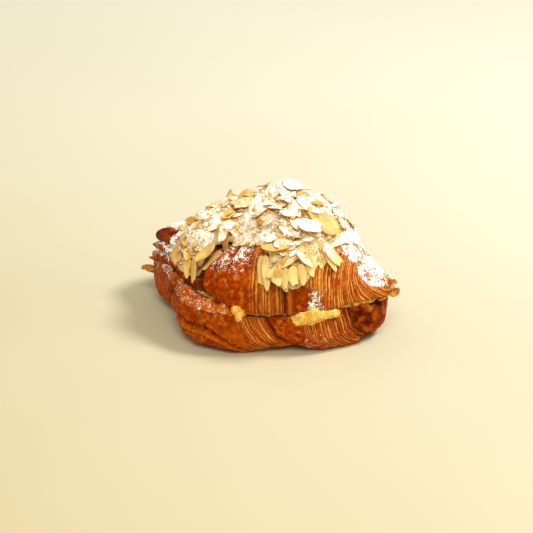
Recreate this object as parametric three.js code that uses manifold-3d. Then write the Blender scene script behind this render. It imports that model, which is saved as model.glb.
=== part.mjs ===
// Almond croissant: a baked croissant sliced along its length, filled with almond cream,
// closed again, topped with more almond cream and flaked almonds, and baked a second time.
//
// Millimetres, +Z up. +X runs along the croissant, from its broad end to its thin tip, and -Y is
// its outer, convex side. The origin is on the surface that it stands on, under its middle.

import * as THREE from "three";
import { mergeVertices } from "three/addons/utils/BufferGeometryUtils.js";
import Module from "manifold-3d";

const wasm = await Module();
wasm.setup();

// ---- driving dimensions ----

const GAP = 0.35; // clearance between neighbouring pieces
const SLIVER = 0.1; // facets finer than this are merged where pieces were cut
const SPINE_BEND = 15; // how far the ends curl back from the middle
const SPINE_WIDTH = 42; // how quickly they do so
const SPINE_MIDDLE = -5; // where along X the outer side bulges most
const WIDEST_Z = 12; // height of the base's widest line
const CREAM_LAYER = 1.6; // gap between the base's rim and the lid's
const HOLLOW = 4.5; // how far the two cut faces dip away from each other in the middle
const TIP_FROM = 55; // from here on, the lid draws out into a thin torn tip
const TIP_REACH = 4; // how far it reaches past the end of the base
const TIP_LIFT = 6; // how far its underside rises

// Places along the croissant. front and back are how far the base reaches either side of the
// spine, foot is the height of its underside and rim that of its cut edge; lidFront, lidBack and
// top are the same for the lid.
const STATIONS = [
  { x: -74, front: 9, back: 9, foot: 9, rim: 18, lidFront: 7, lidBack: 8, top: 34 },
  { x: -70, front: 16, back: 18, foot: 5, rim: 22, lidFront: 16, lidBack: 17, top: 39.5 },
  { x: -60, front: 24, back: 26, foot: 2, rim: 25, lidFront: 22, lidBack: 24, top: 42 },
  { x: -45, front: 31, back: 33, foot: 0.8, rim: 26.5, lidFront: 27, lidBack: 30, top: 44 },
  { x: -28, front: 41.5, back: 38, foot: 0, rim: 26.5, lidFront: 34, lidBack: 35, top: 50 },
  { x: -12, front: 48.5, back: 40, foot: 0, rim: 24.5, lidFront: 38, lidBack: 37, top: 54 },
  { x: 5, front: 44.5, back: 39, foot: 0, rim: 22.5, lidFront: 41, lidBack: 38, top: 57 },
  { x: 22, front: 36.5, back: 35, foot: 0, rim: 22.5, lidFront: 37, lidBack: 34, top: 57 },
  { x: 38, front: 31, back: 29, foot: 0, rim: 23, lidFront: 31, lidBack: 28, top: 53.5 },
  { x: 50, front: 22, back: 21.5, foot: 0, rim: 24.5, lidFront: 22, lidBack: 20, top: 45.5 },
  { x: 57, front: 15, back: 15, foot: 2, rim: 24.5, lidFront: 16, lidBack: 14, top: 39.5 },
  { x: 62, front: 8.5, back: 8.5, foot: 6, rim: 22, lidFront: 9, lidBack: 9, top: 34.5 },
  { x: 64, front: 4, back: 4, foot: 10, rim: 19, lidFront: 4, lidBack: 4, top: 31 },
];

// Grooves between the turns of rolled dough: where each crosses the outer side, where it crosses
// the inner side, its depth and its half width.
const BASE_GROOVES = [
  { front: -31, back: -36, depth: 3.2, width: 3 },
  { front: 16, back: 30, depth: 3, width: 3 },
  { front: 54, back: 58, depth: 2.4, width: 2.5 },
];
const LID_GROOVES = [
  { front: -16, back: 4, depth: 4.5, width: 3.5 },
  { front: 21, back: 30, depth: 1.8, width: 2 },
  { front: 52, back: 55, depth: 1, width: 3 },
];

const RINGS = 36; // sections along the croissant
const SKIN_STEPS = 18; // steps round the outside of a section
const CUT_STEPS = 6; // steps across its cut face

// ---- the croissant's body ----

const radians = THREE.MathUtils.degToRad;
const clamp = THREE.MathUtils.clamp;
const powered = (value, power) => Math.sign(value) * Math.abs(value) ** power;
const bump = (value, middle, width) => Math.exp(-(((value - middle) / width) ** 2));

// A smooth value between stations: a cubic through them whose slopes come from their neighbours.
function station(x, key) {
  const last = STATIONS.length - 1;
  const at = clamp(x, STATIONS[0].x, STATIONS[last].x);
  let i = 0;
  while (i < last - 1 && STATIONS[i + 1].x < at) i += 1;
  const slope = (k) => {
    const a = STATIONS[Math.max(k - 1, 0)];
    const b = STATIONS[Math.min(k + 1, last)];
    return (b[key] - a[key]) / (b.x - a.x);
  };
  const [a, b] = [STATIONS[i], STATIONS[i + 1]];
  const span = b.x - a.x;
  const t = (at - a.x) / span;
  const [t2, t3] = [t * t, t * t * t];
  return (
    (2 * t3 - 3 * t2 + 1) * a[key] +
    (t3 - 2 * t2 + t) * span * slope(i) +
    (3 * t2 - 2 * t3) * b[key] +
    (t3 - t2) * span * slope(i + 1)
  );
}

const spineY = (x) => SPINE_BEND * (1 - bump(x, SPINE_MIDDLE, SPINE_WIDTH));

// The turn of a section about Z, so that sections fan out along the bent spine.
function spineTurn(x) {
  const step = 0.5;
  return 0.8 * Math.atan((spineY(x + step) - spineY(x - step)) / (2 * step));
}

// A point of the section at x, given its distance across the croissant and its height.
function onSection(x, across, z) {
  const turn = spineTurn(x);
  return new THREE.Vector3(
    x - across * Math.sin(turn),
    spineY(x) + across * Math.cos(turn),
    z,
  );
}

// How far the grooves pull the surface in. share is 0 on the outer side and 1 on the inner side.
function grooveDepth(grooves, x, share) {
  return grooves.reduce((sum, g) => {
    const middle = THREE.MathUtils.lerp(g.front, g.back, share);
    return sum + g.depth * bump(x, middle, g.width);
  }, 0);
}

// Slow unevenness of baked dough, under a millimetre.
const unevenness = (x, angle) =>
  0.5 * Math.sin(0.31 * x + 2.3 * angle) + 0.4 * Math.sin(0.17 * x - 3.1 * angle + 1);

// The base's skin: share runs from the outer rim, under the croissant, to the inner rim.
function baseSkin(x, share, grow = 0) {
  const tuck = radians(18); // the rim stands this far above the widest line
  const angle = Math.PI - tuck + share * (Math.PI + 2 * tuck);
  const half = station(x, Math.cos(angle) < 0 ? "front" : "back");
  const foot = station(x, "foot");
  const widest = foot + (WIDEST_Z * (station(x, "rim") - foot)) / station(0, "rim");
  const above = (station(x, "rim") - widest) / Math.sin(tuck);
  const below = widest - foot + 1.2;
  const pull = grooveDepth(BASE_GROOVES, x, share) - unevenness(x, angle) - grow;
  const across = (half - Math.min(pull, half * 0.3)) * powered(Math.cos(angle), 0.7);
  const upper = Math.sin(angle) > 0;
  const raised = upper ? Math.sin(angle) : powered(Math.sin(angle), 0.7);
  const lift = 0.5 * Math.max(pull, 0) * Math.max(-Math.sin(angle), 0);
  const z = widest + (upper ? above : below) * raised + lift;
  const outward = upper ? raised / Math.sin(tuck) : raised;
  return onSection(x, across, grow ? z + grow * outward : Math.max(z, 0));
}

// How far along the torn tip a section is, from 0 to 1.
function tipShare(x) {
  const last = STATIONS[STATIONS.length - 1].x;
  return clamp((x - TIP_FROM) / (last - TIP_FROM), 0, 1);
}

const lidX = (x) => x + TIP_REACH * tipShare(x) ** 1.5;
const lidFoot = (x) => station(x, "rim") + CREAM_LAYER + TIP_LIFT * tipShare(x) ** 2;

// The lid's skin: share runs from the outer rim, over the top, to the inner rim.
function lidSkin(x, share, grow = 0) {
  const angle = Math.PI * (1 - share);
  const half = station(x, Math.cos(angle) < 0 ? "lidFront" : "lidBack");
  const foot = lidFoot(x);
  const pull = grooveDepth(LID_GROOVES, x, share) - unevenness(x, angle) - grow;
  const held = Math.min(pull, half * 0.3);
  const across = (half - held) * powered(Math.cos(angle), 0.85);
  const rise = station(x, "top") - foot + grow;
  const z = foot - grow + (rise - held) * powered(Math.sin(angle), 0.85);
  return onSection(lidX(x), across, z);
}

// The two cut faces dip away from each other. across runs from -1 to 1.
const dip = (x, across, key) => HOLLOW * (1 - across ** 4) * clamp(station(x, key) / 30, 0, 1);
const baseCut = (x, across) => station(x, "rim") - dip(x, across, "front");
const lidCut = (x, across) => lidFoot(x) + 0.5 * dip(x, across, "lidFront");

// ---- closed meshes ----

function geometryOf(points, triangles) {
  const flat = new Float32Array(points.flatMap((p) => [p.x, p.y, p.z]));
  const geometry = new THREE.BufferGeometry();
  geometry.setAttribute("position", new THREE.BufferAttribute(flat, 3));
  geometry.setIndex(triangles);
  return geometry;
}

// A closed tube through rings of points, with a fan over each end. The rings follow one another
// towards +X and each runs anticlockwise as seen from there.
function tube(rings) {
  const count = rings[0].length;
  const points = rings.flat();
  const triangles = [];
  for (let i = 0; i < rings.length - 1; i += 1) {
    for (let j = 0; j < count; j += 1) {
      const k = (j + 1) % count;
      const [a, b] = [i * count + j, i * count + k];
      const [c, d] = [a + count, b + count];
      triangles.push(a, b, c, b, d, c);
    }
  }
  [0, rings.length - 1].forEach((i) => {
    const middle = rings[i].reduce((sum, p) => sum.add(p), new THREE.Vector3());
    const tip = points.push(middle.divideScalar(count)) - 1;
    for (let j = 0; j < count; j += 1) {
      const [a, b] = [i * count + j, i * count + ((j + 1) % count)];
      triangles.push(...(i ? [tip, a, b] : [tip, b, a]));
    }
  });
  return geometryOf(points, triangles);
}

// Sections bunch up towards the two ends, where the shape turns fastest.
function alongX(i, count) {
  const first = STATIONS[0].x;
  const last = STATIONS[STATIONS.length - 1].x;
  const even = i / count;
  const bunched = (1 - Math.cos(Math.PI * even)) / 2;
  return THREE.MathUtils.lerp(first, last, 0.55 * even + 0.45 * bunched);
}

function halfShape(skin, cut, sides, placeX, grow) {
  const rings = [];
  for (let i = 0; i <= RINGS; i += 1) {
    const x = alongX(i, RINGS);
    const ring = [];
    for (let j = 0; j <= SKIN_STEPS; j += 1) ring.push(skin(x, j / SKIN_STEPS, grow));
    for (let j = 1; j < CUT_STEPS; j += 1) {
      const across = 1 - (2 * j) / CUT_STEPS;
      const half = station(x, across < 0 ? sides[0] : sides[1]);
      ring.push(onSection(placeX(x), 0.94 * across * half, cut(x, across)));
    }
    rings.push(ring);
  }
  rings[0].forEach((p) => (p.x -= grow));
  rings[RINGS].forEach((p) => (p.x += grow));
  return rings;
}

function baseShape(grow = 0) {
  const cut = (x, across) => baseCut(x, across) + grow;
  return tube(halfShape(baseSkin, cut, ["front", "back"], (x) => x, grow));
}

function lidShape(grow = 0) {
  const cut = (x, across) => lidCut(x, across) - grow;
  const rings = halfShape(lidSkin, cut, ["lidFront", "lidBack"], lidX, grow);
  return tube(rings.map((ring) => ring.reverse()));
}

// ---- booleans ----

function solidOf(geometry) {
  const bare = geometry.clone();
  bare.deleteAttribute("normal");
  bare.deleteAttribute("uv");
  const merged = mergeVertices(bare, 1e-4);
  return new wasm.Manifold(
    new wasm.Mesh({
      numProp: 3,
      vertProperties: new Float32Array(merged.attributes.position.array),
      triVerts: new Uint32Array(merged.index.array),
    }),
  );
}

function largestPiece(solid) {
  return solid.decompose().sort((a, b) => b.volume() - a.volume())[0];
}

function geometryFrom(solid) {
  const mesh = solid.getMesh();
  const geometry = new THREE.BufferGeometry();
  geometry.setAttribute("position", new THREE.BufferAttribute(mesh.vertProperties, 3));
  geometry.setIndex(new THREE.BufferAttribute(mesh.triVerts, 1));
  return geometry;
}

// A torn leaf of pastry, lying in XY with its root at the origin and its points towards +X.
function leafSolid(length, width, thickness, at, turn, tilt) {
  const half = width / 2;
  const outline = new THREE.Shape([
    new THREE.Vector2(-4, -half),
    new THREE.Vector2(0.45 * length, -0.8 * half),
    new THREE.Vector2(0.85 * length, -0.5 * half),
    new THREE.Vector2(0.7 * length, -0.1 * half),
    new THREE.Vector2(length, 0.2 * half),
    new THREE.Vector2(0.55 * length, 0.6 * half),
    new THREE.Vector2(-4, half),
  ]);
  const geometry = new THREE.ExtrudeGeometry(outline, {
    depth: thickness,
    steps: 1,
    bevelEnabled: false,
  });
  geometry.rotateY(tilt);
  geometry.rotateZ(turn);
  geometry.translate(...at);
  return solidOf(geometry);
}

// ---- almond cream ----

function blob(x, y, z, radii, turn = 0) {
  const geometry = new THREE.SphereGeometry(1, 14, 10);
  geometry.scale(...radii);
  geometry.rotateZ(turn);
  geometry.translate(x, y, z);
  return solidOf(geometry);
}

// The cream between the two halves, with what was squeezed out over the base's outer rim.
function fillingSolid(base, lid) {
  const rings = [];
  const steps = 16;
  for (let i = 0; i <= 24; i += 1) {
    const x = THREE.MathUtils.lerp(-66, 60, i / 24);
    const ring = [];
    for (let j = 0; j < steps; j += 1) {
      const angle = (2 * Math.PI * j) / steps;
      const across = Math.cos(angle);
      const half = station(x, across < 0 ? "lidFront" : "lidBack") - 1.5;
      const middle = (baseCut(x, across) + lidCut(x, across)) / 2;
      ring.push(onSection(x, half * across, middle + 6 * Math.sin(angle)));
    }
    rings.push(ring);
  }
  const oozed = [
    blob(40, -20.5, 22.5, [13, 5, 4], radians(28)),
    blob(33, -24.5, 21, [6, 4.2, 3.8], radians(20)),
    blob(47, -17, 22.5, [5.5, 4, 3.6], radians(30)),
    blob(7.5, -39.5, 24.5, [4, 4.4, 3.4]),
    blob(8.5, -42, 21.5, [2.6, 2.6, 4]),
  ];
  const whole = oozed.reduce((sum, b) => sum.add(b), solidOf(tube(rings)));
  return largestPiece(whole.subtract(base).subtract(lid).simplify(SLIVER));
}

// The topping's cream lies over the lid. along and over run from 0 to 1: from the broad end to
// the thin one, and from the edge that hangs down the outer side to the edge at the back.
const TOPPING_FROM = -52;
const TOPPING_TO = 45;
const HANGING_EDGE = [
  { along: 0, angle: 92 },
  { along: 0.1, angle: 112 },
  { along: 0.19, angle: 154 },
  { along: 0.3, angle: 138 },
  { along: 0.45, angle: 122 },
  { along: 0.62, angle: 124 },
  { along: 0.74, angle: 156 },
  { along: 0.85, angle: 153 },
  { along: 0.93, angle: 114 },
  { along: 1, angle: 94 },
];
const BACK_EDGE = 34;

function hangingAngle(along) {
  const i = Math.max(
    HANGING_EDGE.findIndex((e) => e.along >= along),
    1,
  );
  const [a, b] = [HANGING_EDGE[i - 1], HANGING_EDGE[i]];
  const t = (along - a.along) / (b.along - a.along);
  return THREE.MathUtils.lerp(a.angle, b.angle, t * t * (3 - 2 * t));
}

function creamThickness(along, over) {
  const crosswise = (4 * over * (1 - over)) ** 0.55;
  const lengthwise = (4 * along * (1 - along)) ** 0.45;
  const heap = 9 + 6 * bump(along, 0.68, 0.2) + 3.5 * bump(along, 0.35, 0.16);
  const lean = 0.75 + 0.5 * bump(over, 0.62, 0.3);
  const lumps = 1 + 0.13 * Math.sin(21 * along + 5 * over) + 0.1 * Math.sin(13 * over - 9 * along);
  return heap * crosswise * lengthwise * lean * lumps;
}

const toppingX = (along) => THREE.MathUtils.lerp(TOPPING_FROM, TOPPING_TO, along);
const toppingAngle = (along, over) => THREE.MathUtils.lerp(hangingAngle(along), BACK_EDGE, over);

// The way out of the lid's skin. angle is 180 degrees at the outer rim and 0 at the inner one.
function outwardAt(x, angle) {
  const step = 2;
  const [down, up] = [angle + step, angle - step].map((a) => lidSkin(x, 1 - a / 180));
  return up.sub(down).cross(new THREE.Vector3(-1, 0, 0)).normalize();
}

// A point this far above whatever covers the lid there: the cream, or the bare crust.
function coverPoint(x, angle, lift = 0) {
  const along = (x - TOPPING_FROM) / (TOPPING_TO - TOPPING_FROM);
  const hanging = hangingAngle(clamp(along, 0, 1));
  const over = (hanging - angle) / (hanging - BACK_EDGE);
  const creamy = along > 0 && along < 1 && over > 0 && over < 1;
  const thick = creamy ? creamThickness(along, over) : 0;
  return lidSkin(x, 1 - angle / 180).addScaledVector(outwardAt(x, angle), thick + lift);
}

function toppingSolid() {
  const [long, wide] = [24, 12];
  const [above, below] = [1.3, -2.5]; // the sheet starts inside the lid, which is then cut away
  const rings = [];
  for (let i = 0; i <= long; i += 1) {
    const x = toppingX(i / long);
    const outside = [];
    const inside = [];
    for (let j = 0; j <= wide; j += 1) {
      const angle = toppingAngle(i / long, j / wide);
      const skin = lidSkin(x, 1 - angle / 180);
      const thick = creamThickness(i / long, j / wide);
      outside.push(skin.clone().addScaledVector(outwardAt(x, angle), thick + above));
      inside.unshift(skin.clone().addScaledVector(outwardAt(x, angle), below));
    }
    rings.push([...outside, ...inside].reverse());
  }
  return solidOf(tube(rings));
}

// ---- flaked almonds ----

const FLAKE_THICKNESS = 1;

// A slice of almond, lying in XY with its point towards +X, cupped by bend at its two ends.
function flakeShape({ length, width, bend }, grow = 0) {
  const outline = [];
  const steps = 12;
  for (let i = 0; i < steps; i += 1) {
    const angle = (2 * Math.PI * i) / steps;
    const taper = 1 - 0.3 * Math.cos(angle);
    const y = (width / 2 + grow) * Math.sin(angle) * taper;
    outline.push(new THREE.Vector2((length / 2 + grow) * Math.cos(angle), y));
  }
  const depth = FLAKE_THICKNESS + 2 * grow;
  const geometry = new THREE.ExtrudeGeometry(new THREE.Shape(outline), {
    depth,
    steps: 1,
    bevelEnabled: false,
  });
  geometry.translate(0, 0, -depth / 2);
  const place = geometry.attributes.position;
  for (let i = 0; i < place.count; i += 1) {
    const reach = place.getX(i) / (length / 2);
    place.setZ(i, place.getZ(i) + bend * reach * reach);
  }
  return geometry;
}

// Where a flake lies on the croissant. heading is the way its point faces, 0 towards +X and 90
// down the outer side; roll and pitch then tip it about its length and about its width. level
// turns it away from the slope, towards lying flat.
function placeOf({ x, angle, heading, roll, pitch, lift, level = 0 }) {
  const at = coverPoint(x, angle, lift);
  const lengthwise = coverPoint(x + 2, angle).sub(coverPoint(x - 2, angle)).normalize();
  const downhill = coverPoint(x, angle + 4).sub(coverPoint(x, angle - 4)).normalize();
  const face = downhill.clone().cross(lengthwise).normalize();
  face.setZ(face.z + level).normalize();
  const point = lengthwise.multiplyScalar(Math.cos(radians(heading)));
  point.addScaledVector(downhill, Math.sin(radians(heading)));
  const across = new THREE.Vector3().crossVectors(face, point).normalize();
  point.crossVectors(across, face);
  const place = new THREE.Matrix4().makeBasis(point, across, face).setPosition(at);
  place.multiply(new THREE.Matrix4().makeRotationX(radians(roll)));
  return place.multiply(new THREE.Matrix4().makeRotationY(radians(-pitch)));
}

const flake = (x, angle, heading, roll, pitch, lift, length, width, bend) => ({
  x, angle, heading, roll, pitch, lift, length, width, bend,
});

// The flakes that hang on the outer side or stand out on top, which give the heap its outline.
const PLACED_FLAKES = [
  // in the groove beside the broad end
  flake(-27, 155, 62, -10, -4, 1.6, 12.5, 7, 0.6),
  flake(-19.5, 146, 75, 10, 0, 2.4, 13, 6.5, 0.4),
  flake(-17, 157, 88, 30, 0, 2.2, 13, 4.5, -0.3),
  flake(-12.5, 143, 118, 10, -6, 3, 13, 6.5, 0.6),
  flake(-10.5, 120, 80, 32, 0, 2.4, 13.5, 5.5, 0.5),
  // the fan that hangs over the middle
  flake(10.5, 147, 80, -5, 0, 1.4, 18, 6, -0.5),
  flake(16, 130, 4, -20, 0, 1.4, 15, 5, 0.6),
  flake(18, 145, -38, -10, 4, 1.8, 19, 5, 0.5),
  flake(21, 152, 78, 8, 6, 1.4, 14, 6.5, 0.8),
  flake(26.5, 150, 84, 10, 6, 1.6, 15, 7, 0.8),
  flake(32, 143, 108, 14, 6, 1.8, 14, 6.5, 0.8),
  flake(36, 131, 104, 20, 0, 1.8, 12, 6, 0.5),
  flake(40.5, 126, 55, 6, 0, 1.4, 16, 6.5, 0.5),
  // the top of the heap
  flake(11, 77, 5, 12, 0, 1.6, 15, 10.5, 0.8),
  flake(1, 87, 188, -8, 4, 1, 13, 8.5, 0.6),
  flake(27, 72, -6, 6, -2, 1.4, 16, 8.5, 0.6),
  flake(37, 79, 8, 6, 0, 1.2, 15, 8.5, -0.5),
  flake(22, 91, 15, 0, 4, 0.8, 12, 7.5, 0.5),
  flake(32, 99, 184, -8, 2, 1, 21, 12, 1.1),
  flake(6, 108, 20, 0, 0, 1, 11, 7, 0.4),
  flake(-30, 87, -88, 8, 30, 2.4, 13, 7, 0.5),
  flake(-19, 102, 204, 6, 6, 1.2, 15, 9.5, 0.8),
  flake(-20, 82, -104, -8, 26, 2.2, 12, 7.5, 0.5),
];
const SCATTERED_FLAKES = 29;

// Repeatable numbers from 0 to 1.
function randomNumbers(seed) {
  let state = seed;
  return () => {
    state = (state * 1664525 + 1013904223) % 4294967296;
    return state / 4294967296;
  };
}

// One chance place on the cream, tipped so that an edge of the flake stands out of it.
function scatteredFlake(random) {
  const along = 0.05 + 0.9 * random();
  const over = 0.08 + 0.86 * random();
  const length = 12 + 5.5 * random();
  return {
    x: toppingX(along),
    angle: toppingAngle(along, over),
    heading: 360 * random(),
    roll: 44 * (random() - 0.5),
    pitch: 34 * (random() - 0.5),
    lift: 0.6,
    level: 0.7,
    length,
    width: length * (0.46 + 0.14 * random()),
    bend: 1.2 * (random() - 0.3),
  };
}

// Lays the flakes one by one. One that would cut into the lid, the base or a flake laid before it
// is raised until it is clear, and left out if it would have to float.
function layFlakes(lid, base) {
  const random = randomNumbers(11);
  const laid = [];
  const grown = [];
  const raiseStep = 0.5;
  const blocked = (solid) =>
    [lid, base, ...grown].some((other) => other.intersect(solid).volume() > 1e-3);
  const lay = (flake, mostRaised) => {
    for (let raised = 0; raised <= mostRaised; raised += raiseStep) {
      const place = placeOf({ ...flake, lift: flake.lift + raised });
      const shape = flakeShape(flake);
      if (!blocked(solidOf(shape.clone().applyMatrix4(place)))) {
        laid.push({ shape, place });
        grown.push(solidOf(flakeShape(flake, GAP).applyMatrix4(place)));
        return;
      }
    }
  };
  PLACED_FLAKES.forEach((flake) => lay(flake, 5));
  const wanted = laid.length + SCATTERED_FLAKES;
  for (let tries = 0; laid.length < wanted && tries < 600; tries += 1) {
    lay(scatteredFlake(random), 2);
  }
  return { laid, grown };
}

// ---- materials ----

const material = (color, roughness) =>
  new THREE.MeshStandardMaterial({ color, roughness, metalness: 0 });
const CRUST = material(0xb5611d, 0.55);
const LID_CRUST = material(0xbf6a22, 0.5);
const FILLING = material(0xe8c860, 0.7);
const CREAM = material(0xf0e2bd, 0.85);
const ALMOND = material(0xecd9a6, 0.65);

// ---- assembly ----

const croissant = new THREE.Group();

function addPiece(name, geometry, look) {
  geometry.computeVertexNormals();
  const mesh = new THREE.Mesh(geometry, look);
  mesh.name = name;
  croissant.add(mesh);
  return mesh;
}

const baseRoom = solidOf(baseShape(GAP));
const lidRoom = solidOf(lidShape(GAP));

const endLeaf = leafSolid(6, 7, 1.2, [-73, 8, 12.5], radians(200), radians(4));
const tipLeaf = leafSolid(4.5, 6, 1.4, [66, 13.5, 28.5], radians(-12), radians(8));
addPiece("croissant_base", geometryFrom(solidOf(baseShape()).add(endLeaf)), CRUST);
addPiece("croissant_lid", geometryFrom(solidOf(lidShape()).add(tipLeaf)), LID_CRUST);
addPiece("almond_cream_filling", geometryFrom(fillingSolid(baseRoom, lidRoom)), FILLING);

const { laid, grown } = layFlakes(lidRoom, baseRoom);
const cream = grown.reduce((sum, flake) => sum.subtract(flake), toppingSolid().subtract(lidRoom));
const topping = largestPiece(cream.subtract(baseRoom).simplify(SLIVER));
addPiece("almond_cream_topping", geometryFrom(topping), CREAM);

laid.forEach(({ shape, place }, i) => {
  const name = `almond_flake_${String(i + 1).padStart(2, "0")}`;
  addPiece(name, shape, ALMOND).applyMatrix4(place);
});

// The frame's origin: under the middle of the whole croissant.
const whole = new THREE.Box3().setFromObject(croissant, true);
const middle = whole.getCenter(new THREE.Vector3()).setZ(whole.min.z);
croissant.children.forEach((piece) => piece.position.sub(middle));

export default croissant;
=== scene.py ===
"""Looks for the almond croissant: crust, almond cream, flaked almonds and icing sugar."""

import itertools
import math

import bmesh
import bpy
import numpy as np
from mathutils import Matrix, Vector
from mathutils.bvhtree import BVHTree


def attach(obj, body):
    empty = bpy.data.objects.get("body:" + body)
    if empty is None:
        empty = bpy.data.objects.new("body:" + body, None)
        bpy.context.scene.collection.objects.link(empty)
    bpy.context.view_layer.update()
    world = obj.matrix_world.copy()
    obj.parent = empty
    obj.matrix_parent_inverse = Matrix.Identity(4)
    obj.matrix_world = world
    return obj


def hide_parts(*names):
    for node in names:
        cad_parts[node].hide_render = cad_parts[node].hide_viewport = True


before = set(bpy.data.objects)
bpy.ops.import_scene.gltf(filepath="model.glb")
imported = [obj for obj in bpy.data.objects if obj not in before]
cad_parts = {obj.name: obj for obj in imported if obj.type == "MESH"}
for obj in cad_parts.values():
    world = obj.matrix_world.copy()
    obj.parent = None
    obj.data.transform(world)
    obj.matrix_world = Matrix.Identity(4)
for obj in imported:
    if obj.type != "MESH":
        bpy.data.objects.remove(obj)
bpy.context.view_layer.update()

MM = 0.001

# ---- driving dimensions, in millimetres ----

SECTIONS_AT = np.array([3.895, 3.206, 0.0])  # where the sections' own origin lies in the frame
SPINE_BEND = 15.0
SPINE_WIDTH = 42.0
SPINE_MIDDLE = -5.0
WIDEST_Z = 12.0
TUCK = math.radians(18)  # how far the base's sides lean in again above where they are widest
CREAM_LAYER = 1.6
HOLLOW = 4.5
TIP_FROM = 55.0
TIP_REACH = 4.0
TIP_LIFT = 6.0

# x, then the base's reach to the front and back, its foot and rim heights, then the lid's reach
# to the front and back and the height of its top
STATIONS = np.array(
    [
        (-74, 9, 9, 9, 18, 7, 8, 34),
        (-70, 16, 18, 5, 22, 16, 17, 39.5),
        (-60, 24, 26, 2, 25, 22, 24, 42),
        (-45, 31, 33, 0.8, 26.5, 27, 30, 44),
        (-28, 41.5, 38, 0, 26.5, 34, 35, 50),
        (-12, 48.5, 40, 0, 24.5, 38, 37, 54),
        (5, 44.5, 39, 0, 22.5, 41, 38, 57),
        (22, 36.5, 35, 0, 22.5, 37, 34, 57),
        (38, 31, 29, 0, 23, 31, 28, 53.5),
        (50, 22, 21.5, 0, 24.5, 22, 20, 45.5),
        (57, 15, 15, 2, 24.5, 16, 14, 39.5),
        (62, 8.5, 8.5, 6, 22, 9, 9, 34.5),
        (64, 4, 4, 10, 19, 4, 4, 31),
    ],
    float,
)
COLUMNS = {"front": 1, "back": 2, "foot": 3, "rim": 4, "lid_front": 5, "lid_back": 6, "top": 7}
BROAD_END = STATIONS[0, 0]
THIN_END = STATIONS[-1, 0]


# ---- small helpers ----


def unit(value):
    return np.clip(value, 0, 1)


def smooth(low, high, value):
    t = unit((value - low) / (high - low))
    return t * t * (3 - 2 * t)


def window(value, opens, full, closing, shut):
    """Rises from 0 at opens to 1 at full, and falls from closing to 0 again at shut."""
    return smooth(opens, full, value) * smooth(shut, closing, value)


def bump(value, middle, width):
    return np.exp(-(((value - middle) / width) ** 2))


def powered(value, power):
    return np.sign(value) * np.abs(value) ** power


def blend(a, b, t):
    return a + (b - a) * t


def through(knots, value):
    """Where the broken line through these knots lies at each value."""
    places = np.array(knots, float)
    return np.interp(value, places[:, 0], places[:, 1])


def value_noise(points, size, seed):
    """Smooth noise from -1 to 1 with one value to a point; its cells are this size."""
    scaled = points / size + 19.7 * seed
    cell = np.floor(scaled).astype(np.int64)
    part = scaled - cell
    part = part * part * (3 - 2 * part)
    total = np.zeros(len(points))
    for corner in itertools.product((0, 1), repeat=3):
        at = cell + np.array(corner)
        mixed = at[:, 0] * 73856093 ^ at[:, 1] * 19349663 ^ at[:, 2] * 83492791 ^ seed * 668265263
        mixed = (mixed ^ (mixed >> 13)) * 1274126177 & 0xFFFFFFFF
        value = ((mixed ^ (mixed >> 16)) & 0xFFFF) / 32767.5 - 1
        total += value * np.prod(np.where(corner, part, 1 - part), axis=1)
    return total


def layered_noise(points, size, seed, octaves=3):
    """Value noise with finer and fainter copies of itself added."""
    total = np.zeros(len(points))
    strength = 1.0
    for octave in range(octaves):
        total += strength * value_noise(points, size / 2**octave, seed + octave)
        strength *= 0.5
    return total / (2 - 2 * 0.5**octaves)


# ---- the croissant's own shape ----


def station(x, key):
    """A smooth curve through the stations: cubics with slopes from the neighbours."""
    at = np.clip(x, BROAD_END, THIN_END)
    xs = STATIONS[:, 0]
    ys = STATIONS[:, COLUMNS[key]]
    slopes = np.empty(len(xs))
    slopes[1:-1] = (ys[2:] - ys[:-2]) / (xs[2:] - xs[:-2])
    slopes[0] = (ys[1] - ys[0]) / (xs[1] - xs[0])
    slopes[-1] = (ys[-1] - ys[-2]) / (xs[-1] - xs[-2])
    i = np.clip(np.searchsorted(xs, at, side="right") - 1, 0, len(xs) - 2)
    span = xs[i + 1] - xs[i]
    t = (at - xs[i]) / span
    return (
        (2 * t**3 - 3 * t**2 + 1) * ys[i]
        + (t**3 - 2 * t**2 + t) * span * slopes[i]
        + (3 * t**2 - 2 * t**3) * ys[i + 1]
        + (t**3 - t**2) * span * slopes[i + 1]
    )


def spine_y(x):
    return SPINE_BEND * (1 - bump(x, SPINE_MIDDLE, SPINE_WIDTH))


def on_section(x, across, z):
    turn = 0.8 * np.arctan(spine_y(x + 0.5) - spine_y(x - 0.5))
    return np.stack([x - across * np.sin(turn), spine_y(x) + across * np.cos(turn), z], -1)


def tip_share(x):
    return unit((x - TIP_FROM) / (THIN_END - TIP_FROM))


def lid_x(x):
    return x + TIP_REACH * tip_share(x) ** 1.5


def lid_foot(x):
    return station(x, "rim") + CREAM_LAYER + TIP_LIFT * tip_share(x) ** 2


def dip(x, across, key):
    return HOLLOW * (1 - across**4) * unit(station(x, key) / 30)


def base_reach(x, across):
    return np.where(across < 0, station(x, "front"), station(x, "back"))


def lid_reach(x, across):
    return np.where(across < 0, station(x, "lid_front"), station(x, "lid_back"))


def base_skin(x, share):
    """The base's plain skin. share runs from the outer rim, underneath, to the inner rim."""
    angle = np.pi - TUCK + share * (np.pi + 2 * TUCK)
    half = base_reach(x, np.cos(angle))
    foot = station(x, "foot")
    widest = foot + WIDEST_Z * (station(x, "rim") - foot) / station(np.array([0.0]), "rim")
    above = (station(x, "rim") - widest) / math.sin(TUCK)
    below = widest - foot + 1.2
    upper = np.sin(angle) > 0
    raised = np.where(upper, np.sin(angle), powered(np.sin(angle), 0.7))
    z = widest + np.where(upper, above, below) * raised
    return on_section(x, half * powered(np.cos(angle), 0.7), z)


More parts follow.
